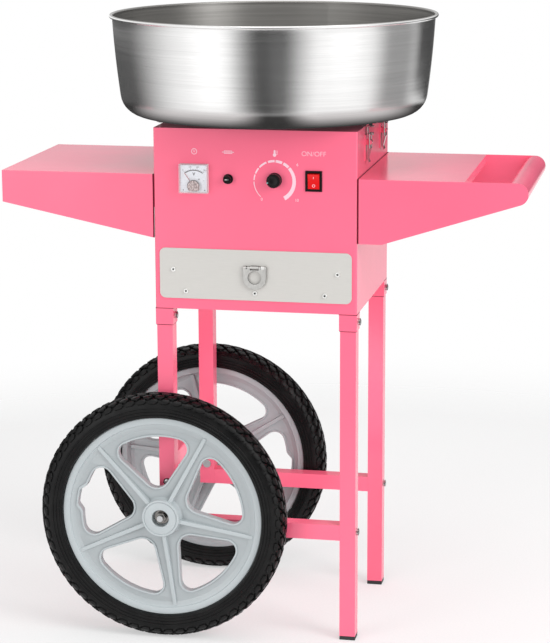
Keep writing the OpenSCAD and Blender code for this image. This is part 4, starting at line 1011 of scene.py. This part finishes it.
def makeKnob():
    k = knobShape
    r, top, seat = k["radius"], k["high"], k["seat"]
    wide, deep = k["hollow"]
    core = [(0, -seat), (k["spindle"], -seat), (k["spindle"], deep), (wide, deep), (wide, 0)]
    core += [(r - inward * mm, up * mm) for inward, up in k["skirt"]]
    core += [(r - inward * mm, top - down * mm) for inward, down in k["crown"]] + [(0, top - k["dish"])]
    body = smooth(lathe("knobCore", core, 72), 40)
    outer, inner = k["gripWall"]
    walls = [fluted(r - outer, k["flute"], k["flutes"], 6), ring(0, 0, r - inner, 72)]
    high = top - k["gripLess"]
    grip = plate("knobGrip", walls, high, 0.7 * mm, 3)
    grip.location.z = k["gripFoot"] + high / 2
    return joinUp([body, smooth(settle(grip), 50)], "knobMoulded")


def makePointer():
    k = knobShape
    near, far, half = k["bar"]
    pointer = plate("knobPointer", [box2d(near, far, -half, half)], k["barThick"], 0.15 * mm, 1)
    z = k["high"] - k["barDown"]
    pointer.matrix_world = turned(math.radians(k["pointer"]), "Z") @ moved((0, 0, z))
    return settle(pointer)


def toPanel(obj, node, gap):  # built along Z, turned to stand out of the panel
    middle = middleOf(node)
    obj.matrix_world = moved((middle.x, panelY - gap, middle.z)) @ quarter("X")
    return settle(obj)


knob = toPanel(makeKnob(), "temperature_knob", knobShape["gap"])
dress(knob, finish["black_plastic"], "temperature_knob")
addOn(toPanel(makePointer(), "temperature_knob", knobShape["gap"]), tealInk, "knob")
print("knob done")


# fuse cap: ribbed edge, a nickel disc in its recess and a slot for a coin

fuseShape = {"radius": 6 * mm, "high": 8 * mm, "ribs": 30, "rib": 0.4 * mm, "stub": 4.4 * mm,
             "stubLong": 10 * mm, "slot": (1.4 * mm, 1.5 * mm), "dish": 1.1 * mm, "gap": 2.8 * mm,
             "crown": [(0.5, 1.2), (0.9, 0.3), (1.5, 0), (1.9, 0), (2.3, 0.9)],
             "gripFoot": 0.5 * mm, "gripLess": 2.2 * mm, "gripWall": 1.4 * mm,
             "disc": [(0, 1.3), (3.5, 1.3), (3.5, 0.8), (2.4, 0.4), (0, 0.2)], "discSlot": 1.4 * mm}


def cutSlot(obj, size, z):
    cutter = cube((0, 0, z), size)
    modify(obj, "BOOLEAN", operation="DIFFERENCE", object=cutter, solver="EXACT")
    discard(cutter)
    return smooth(obj, 40)


def makeFuseCap():
    f = fuseShape
    r, top, stub = f["radius"], f["high"], f["stub"]
    core = [(0, -f["stubLong"]), (stub, -f["stubLong"]), (stub, 0), (r - 0.5 * mm, 0)]
    core += [(r - inward * mm, top - down * mm) for inward, down in f["crown"]] + [(0, top - f["dish"])]
    cap = smooth(lathe("fuseCore", core, 64), 40)
    high = top - f["gripLess"]
    grip = plate("fuseGrip", [fluted(r, f["rib"], f["ribs"], 4), ring(0, 0, r - f["gripWall"], 60)], high,
                 0.25 * mm, 1)
    grip.location.z = f["gripFoot"] + high / 2
    wide, deep = f["slot"]
    cap = cutSlot(cap, (2 * r + 2 * mm, wide, deep + 1 * mm), top - deep / 2 + 0.5 * mm)
    return joinUp([cap, smooth(settle(grip), 40)], "fuseCapMoulded")


def makeFuseDisc():
    f = fuseShape
    disc = lathe("fuseDisc", [(r * mm, f["high"] - down * mm) for r, down in f["disc"]], 40)
    return cutSlot(disc, (10 * mm, f["slot"][0] * 0.8, f["discSlot"]), f["high"])


dress(toPanel(makeFuseCap(), "fuse_cap", fuseShape["gap"]), finish["black_plastic"], "fuse_cap")
addOn(toPanel(makeFuseDisc(), "fuse_cap", fuseShape["gap"]), finish["bolt_steel"], "cap")
print("fuse cap done")


# marks on the rocker

rockerShape = {"tilt": 8, "horn": 1.4 * mm, "half": 11.7 * mm, "pivotIn": 1 * mm, "bezel": 2 * mm,
               "thick": 0.14 * mm, "on": (0.4 * mm, 4.6 * mm, 7.8 * mm),
               "off": (-6.6 * mm, 2.3 * mm, 1.65 * mm)}


def makeRockerMarks():
    r = rockerShape
    middle = middleOf("switch_bezel")
    tilt = math.radians(r["tilt"])
    lean = math.atan2(r["horn"], r["half"])
    ridge = r["bezel"] + r["pivotIn"]
    foot = (middle.x, panelY + r["pivotIn"] - ridge * math.cos(tilt), middle.z - ridge * math.sin(tilt))
    half, low, high = r["on"]
    on = plate("markOn", [box2d(-half, half, low, high)], r["thick"])
    z, outer, inner = r["off"]
    off = plate("markOff", [ring(0, z, outer, 32), ring(0, z, inner, 32)], r["thick"])
    for mark, slope in ((on, tilt + lean), (off, tilt - lean)):
        mark.matrix_world = moved(foot) @ turned(slope + math.pi / 2, "X")
        settle(mark)
    return joinUp([on, off], "rockerMarks")


addOn(makeRockerMarks(), paleInk, "rocker")
print("rocker marks done")


# bolt heads: a dark washer's edge round a domed head, and dark discs on the drawer's screws, painted shade
# in their drives

boltHead = {"washer": (5.6 * mm, 3.7 * mm, 0.7 * mm), "dome": (3.8 * mm, 1.7 * mm), "sunk": 0.2 * mm,
            "smallest": 9 * mm, "driveShade": (1.3 * mm, 0.2 * mm), "steps": 28}


def looseBoxes(node):  # the box of each separate solid in a CAD node
    copyOf(node, "loose")
    bpy.ops.mesh.separate(type="LOOSE")
    bpy.ops.object.mode_set(mode="OBJECT")
    pieces = list(bpy.context.selected_objects)
    boxes = []
    for piece in pieces:
        places = [v.co for v in piece.data.vertices]
        boxes.append([Vector([end(p[i] for p in places) for i in range(3)]) for end in (min, max)])
    discard(*pieces)
    return sorted(boxes, key=lambda box: tuple(box[0]))


def boltPlaces():  # heads look to the right, or to the front where the bolt runs along Y
    places = []
    for lo, hi in looseBoxes("frame_fasteners"):
        size, middle = hi - lo, (lo + hi) / 2
        if min(size) < boltHead["smallest"]:
            continue
        if size.x > size.y:
            places.append(moved((hi.x, middle.y, middle.z)) @ quarter("Y"))
        else:
            places.append(moved((middle.x, lo.y, middle.z)) @ quarter("X"))
    return places


def makeWasher():
    outer, inner, thick = boltHead["washer"]
    edges = [ring(0, 0, r, boltHead["steps"]) for r in (outer, inner)]
    return smooth(plate("washer", edges, thick, 0.2 * mm, 1), 50)


def makeDome():
    r, high = boltHead["dome"]
    sunk = boltHead["sunk"]
    section = [(0, -sunk), (r, -sunk), (r, 0.5 * high), (0.8 * r, 0.85 * high)]
    section += [(0.45 * r, high), (0, high)]
    return smooth(lathe("dome", section, boltHead["steps"]), 50)


def onBolts(make, name):
    pieces = []
    for place in boltPlaces():
        piece = make()
        piece.matrix_world = place
        pieces.append(settle(piece))
    return joinUp(pieces, name)


# flat dark discs on the screw heads: painted shade in their recesses
def makeDriveShade():
    r, thick = boltHead["driveShade"]
    dark = []
    for lo, hi in looseBoxes("drawer_screws"):
        middle = (lo + hi) / 2
        dark.append(plate("driveShade", [ring(middle.x, middle.z, r, 16)], thick))
    return onFront(joinUp(dark, "screwDriveShade"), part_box("drawer_screws")[0].y - 0.05 * mm)


addOn(onBolts(makeWasher, "boltWashers"), finish["black_plastic"], "cart")
addOn(onBolts(makeDome, "boltDomes"), finish["bolt_steel"], "cart")
addOn(makeDriveShade(), finish["black_plastic"], "drawer")
print("bolt heads done")


# seams: painted shade in the gaps at the shelves, under the cabinet and below the leg sockets; and the
# bowl's tabs

seam = {"gap": 2 * mm, "wide": 1.5 * mm, "deep": 1 * mm, "down": 0.5 * mm, "proud": 0.2 * mm,
        "line": 0.8 * mm, "socketLine": (0.1 * mm, 0.8 * mm), "cabinetLine": (0.5 * mm, 1.7 * mm)}
tab = {"half": 2 * mm, "into": 0.2 * mm}


def bar(x0, x1, y0, y1, z0, z1):
    return cube(((x0 + x1) / 2, (y0 + y1) / 2, (z0 + z1) / 2), (x1 - x0, y1 - y0, z1 - z0))


def squareLine(x, y, top, inner, outer):  # a line of painted shade round a leg
    line = plate("squareLine", [boxRound(x, y, half, half) for half in (outer, inner)], seam["line"])
    line.location.z = top - seam["line"] / 2
    return settle(line)


def makeSeamShadows():
    cabinetLow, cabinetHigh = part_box("cabinet")
    low, top = [corner.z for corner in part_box("left_shelf")]
    front, back = cabinetLow.y, cabinetHigh.y
    proud, deep = seam["proud"], seam["deep"]
    bars = []
    for side, out in ((cabinetLow.x, -1), (cabinetHigh.x, 1)):
        near, far = sorted((side, side + out * seam["gap"]))
        bars.append(bar(near, far, front - proud, front + deep, low + proud, top + proud))
        bars.append(bar(near, far, back - deep, back + proud, low + proud, top + proud))
        near, far = sorted((side, side + out * seam["wide"]))
        bars.append(bar(near, far, front, back, top - seam["down"], top + proud))
    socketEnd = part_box("leg_sockets")[0].z
    for name in legs:
        lo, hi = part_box(name)
        middle, half = (lo + hi) / 2, (hi.x - lo.x) / 2
        for z, (inner, outer) in ((socketEnd, seam["socketLine"]), (cabinetLow.z, seam["cabinetLine"])):
            bars.append(squareLine(middle.x, middle.y, z, half + inner, half + outer))
    return joinUp(bars, "seamShadows")


def makeCatchTabs():  # from each catch up to the bowl's floor
    tabs = []
    for lo, hi in looseBoxes("bowl_catches"):
        x, half = (lo.x + hi.x) / 2, tab["half"]
        top = hi.z + bowlShape["lift"] + tab["into"]
        tabs.append(bar(x - half, x + half, lo.y, hi.y, hi.z - half, top))
    return joinUp(tabs, "catchTabs")


addOn(makeCatchTabs(), finish["latch_steel"], "cart")
# dark maroon strips: painted shade in the gaps and under the edges
seamShade = mouldedPlastic("seamShade", (0.11, 0.004, 0.014), 0.6, shine=0.1)
addOn(makeSeamShadows(), seamShade, "cart")
print("seams done")


# spinner head: rows of dark discs on its heated band, painted shade standing for its holes

bandHole = {"radius": 1.5 * mm, "rows": (0.22, 0.5, 0.78), "count": 44, "thick": 0.5 * mm,
            "sunk": 0.15 * mm}


def makeBandHoleShade():
    h = bandHole
    lo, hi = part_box("heater_band")
    middle = (lo + hi) / 2
    reach = (hi.x - lo.x) / 2 - h["sunk"]
    holes = []
    for row, share in enumerate(h["rows"]):
        z = lo.z + share * (hi.z - lo.z)
        for i in range(h["count"]):
            hole = plate("hole", [ring(0, 0, h["radius"], 10)], h["thick"])
            turn = 2 * math.pi * (i + 0.5 * (row % 2)) / h["count"]
            hole.matrix_world = (moved((middle.x, middle.y, z)) @ turned(turn, "Z")
                                 @ moved((reach, 0, 0)) @ quarter("Y"))
            holes.append(settle(hole))
    return joinUp(holes, "bandHoleShade")


# near black discs: painted shade where the holes are
holeShade = mouldedPlastic("holeShade", (0.012, 0.01, 0.009), 0.7, shine=0.1)
addOn(makeBandHoleShade(), holeShade, "spinner")
print("spinner holes done")


# drawer pull: the ends of its hinge, with dark dots and a line of painted shadow along the tab's edge

pullHinge = {"dots": -12.6 * mm, "dotsApart": 3 * mm, "dot": 0.8 * mm, "tab": (10 * mm, 15.4 * mm),
             "tabHigh": 4.6 * mm, "line": 0.6 * mm, "down": 2.6 * mm, "proud": 0.1 * mm, "thick": 0.3 * mm}
hingeX = middleOf("pull_ring").x
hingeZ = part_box("pull_base")[1].z - pullHinge["down"]
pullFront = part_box("pull_ring")[0].y - pullHinge["proud"]


def besideHinge(x0, x1):  # a strip as high as the tab
    half = pullHinge["tabHigh"] / 2
    return box2d(hingeX + x0, hingeX + x1, hingeZ - half, hingeZ + half)


def makePullMarks():
    p = pullHinge
    dark = []
    for side in (-1, 1):
        dot = ring(hingeX + p["dots"], hingeZ + side * p["dotsApart"] / 2, p["dot"], 16)
        dark.append(plate("dot", [dot], p["thick"]))
    # the dark strip at the tab's edge is painted shadow
    dark.append(plate("line", [besideHinge(p["tab"][0] - p["line"], p["tab"][0])], p["thick"]))
    return onFront(joinUp(dark, "pullMarks"), pullFront)


def makePullTab():
    return onFront(plate("pullTab", [besideHinge(*pullHinge["tab"])], 0.6 * mm, 0.2 * mm, 1), pullFront)


addOn(makePullMarks(), finish["black_plastic"], "pull")
addOn(makePullTab(), special["drawer_screws"], "pull")
print("pull hinge done")


# camera at the photograph's viewing angle

cameraAt = {"place": (0.7046, -3.48061, 1.25604), "yaw": 0.20169, "pitch": 0.21449, "roll": -0.004057,
            "lens": 125.14, "sensor": 36}
cameraData = bpy.data.cameras.new("camera")
cameraData.lens = cameraAt["lens"]
cameraData.sensor_width = cameraAt["sensor"]
camera = bpy.data.objects.new("camera", cameraData)
scene.collection.objects.link(camera)
camera.matrix_world = (moved(cameraAt["place"]) @ turned(cameraAt["yaw"], "Z")
                       @ turned(math.pi / 2 - cameraAt["pitch"], "X") @ turned(cameraAt["roll"], "Z"))
scene.camera = camera


# lamps, floor, and the tent that the steel mirrors

def lamp(name, place, aim, size, power):
    data = bpy.data.lights.new(name, "AREA")
    data.shape = "RECTANGLE"
    data.size, data.size_y = size
    data.energy = power
    obj = bpy.data.objects.new(name, data)
    scene.collection.objects.link(obj)
    turn = (Vector(aim) - Vector(place)).to_track_quat("-Z", "Y").to_matrix().to_4x4()
    obj.matrix_world = moved(place) @ turn
    return obj


lamp("keyRight", (2.7, -1.5, 2.0), (0.0, 0.0, 0.6), (1.5, 2.4), 58)
lamp("fillLeft", (-2.0, -3.0, 1.1), (0.0, 0.0, 0.5), (1.6, 2.0), 38)
lamp("fillLow", (1.3, -2.6, 0.35), (-0.1, 0.2, 0.25), (1.2, 0.6), 10)
lamp("fillUnder", (0.07, -0.112, 0.36), (-0.12, 0.17, 0.22), (0.2, 0.1), 0.3).visible_glossy = False
lamp("top", (0.1, -0.2, 3.4), (0.0, 0.0, 0.0), (2.6, 2.6), 34)


def seenDirectly(s):  # camera, mirror and glass rays
    path = s.add("ShaderNodeLightPath").socket.node
    kinds = [Wire(s, path.outputs[k]) for k in ("Is Camera Ray", "Is Glossy Ray", "Is Transmission Ray")]
    return kinds[0].orMore(kinds[1]).orMore(kinds[2])


def mirrorOnly(obj, material):  # only mirror rays see it
    give(obj, material)
    material.cycles.emission_sampling = "NONE"
    obj.visible_camera = obj.visible_diffuse = obj.visible_shadow = obj.visible_transmission = False


world = bpy.data.worlds.new("studio")
scene.world = world
sky = Shade("studio", world)
glow = sky.spread(seenDirectly(sky), 0, 1, 0.52, 1.0)
sky.close(sky.add("ShaderNodeBackground", None, {"Color": (1, 1, 1, 1), "Strength": glow}),
          "ShaderNodeOutputWorld")

paper = {"size": 12, "grain": 300, "dark": (0.93, 0.93, 0.93, 1), "pale": (0.97, 0.97, 0.97, 1),
         "ends": (0.75, 1.9), "veil": 0.45}


def paperSheet():  # fades out round the cart; the veil keeps it near white, and half of the shadow
    s = Shade("floorPaper")
    at = s.place()
    x, y = s.axes(at)[:2]
    tone = s.mix(s.spread(s.noise(at, paper["grain"], 2), *most), paper["dark"], paper["pale"])
    looks = {"Base Color": tone, "Roughness": 0.95, "Specular IOR Level": 0.0}
    sheet = s.add("ShaderNodeBsdfPrincipled", None, looks, "BSDF")
    clear = s.add("ShaderNodeBsdfTransparent")
    gone = s.fade((x * x + y * y) ** 0.5, *paper["ends"]).orMore(seenDirectly(s) * paper["veil"])
    return s.close(s.add("ShaderNodeMixShader", None, {0: gone, 1: sheet, 2: clear}))


dropSelection()
bpy.ops.mesh.primitive_plane_add(size=paper["size"])
floor = give(bpy.context.object, paperSheet())
floor.name = "floor"

# each cloth: its middle, half width and soft edge in degrees round the cart, its tone and its hem
tent = {"radius": 1.5, "high": 2.4, "foot": (0.61, 0.5),
        "hems": {"low": (0.78, 0.95), "high": (0.98, 1.25)},
        "cloths": {"front": (-81, 34, 27, 0.04, "high"), "right": (16, 30, 22, 0.34, "high"),
                   "back": (60, 34, 20, 0.07, "high"), "left": (143, 78, 60, 0.09, "low")}}


def makeTent():  # a white wall with dark cloths on it
    dropSelection()
    bpy.ops.mesh.primitive_cylinder_add(vertices=96, radius=tent["radius"], depth=tent["high"],
                                        end_fill_type="NOTHING", location=(0, 0, tent["high"] / 2))
    wall = settle(bpy.context.object)
    wall.name = "tent"
    s = Shade("tentCloth")
    x, y, z = s.axes(s.place())
    tone = None
    for name, (middle, half, soft, dark, hem) in tent["cloths"].items():
        turn = math.radians(middle)
        away = ((x * math.cos(turn) + y * math.sin(turn)) / tent["radius"]).maths("ARCCOSINE")
        cloth = s.fade(away, math.radians(half - soft), math.radians(half), dark)
        cloth = cloth.orMore(s.fade(z, *tent["hems"][hem]))
        if name == "back":  # it ends above the floor
            cloth = cloth.orMore(s.fade(z, *tent["foot"]))
        tone = cloth if tone is None else tone * cloth
    glow = s.add("ShaderNodeEmission", None, {"Color": (1, 1, 1, 1), "Strength": tone})
    mirrorOnly(wall, s.close(glow))


flag = {"high": 0.8154, "radius": 0.36, "fade": (0.27, 0.33), "ramp": (0.205, 0.27), "sides": (0.02, 0.2),
        "middle": (0.012, 0.08), "tone": (0.04, 0.7), "colour": (1, 0.96, 0.96, 1)}


def makeFlag():  # keeps the pink out of the bowl's lower curve
    dropSelection()
    bpy.ops.mesh.primitive_circle_add(vertices=64, radius=flag["radius"], fill_type="NGON")
    card = bpy.context.object
    card.name = "flag"
    s = Shade("flagCloth")
    x, y = s.axes(s.place())[:2]
    reach = (x * x + y * y) ** 0.5
    gone = s.spread(reach, *flag["fade"]).orMore(s.add("ShaderNodeNewGeometry", out="Backfacing"))
    side, ahead = math.cos(cameraAt["yaw"]), math.sin(cameraAt["yaw"])
    near = x * ahead - y * side  # bright in front, dark at the sides and in the middle
    across = abs(x * side + y * ahead)
    tone = s.fade(reach, *flag["ramp"]) * s.fade(near, *flag["sides"]) * s.fade(across, *flag["middle"])
    tone = s.spread(tone, 0, 1, *flag["tone"])
    glow = s.add("ShaderNodeEmission", None, {"Color": flag["colour"], "Strength": tone})
    clear = s.add("ShaderNodeBsdfTransparent")
    mirrorOnly(card, s.close(s.add("ShaderNodeMixShader", None, {0: gone, 1: glow, 2: clear})))
    middle = middleOf("bowl")
    card.location = (middle.x, middle.y, flag["high"])


makeTent()
makeFlag()
print("camera, light and floor set")
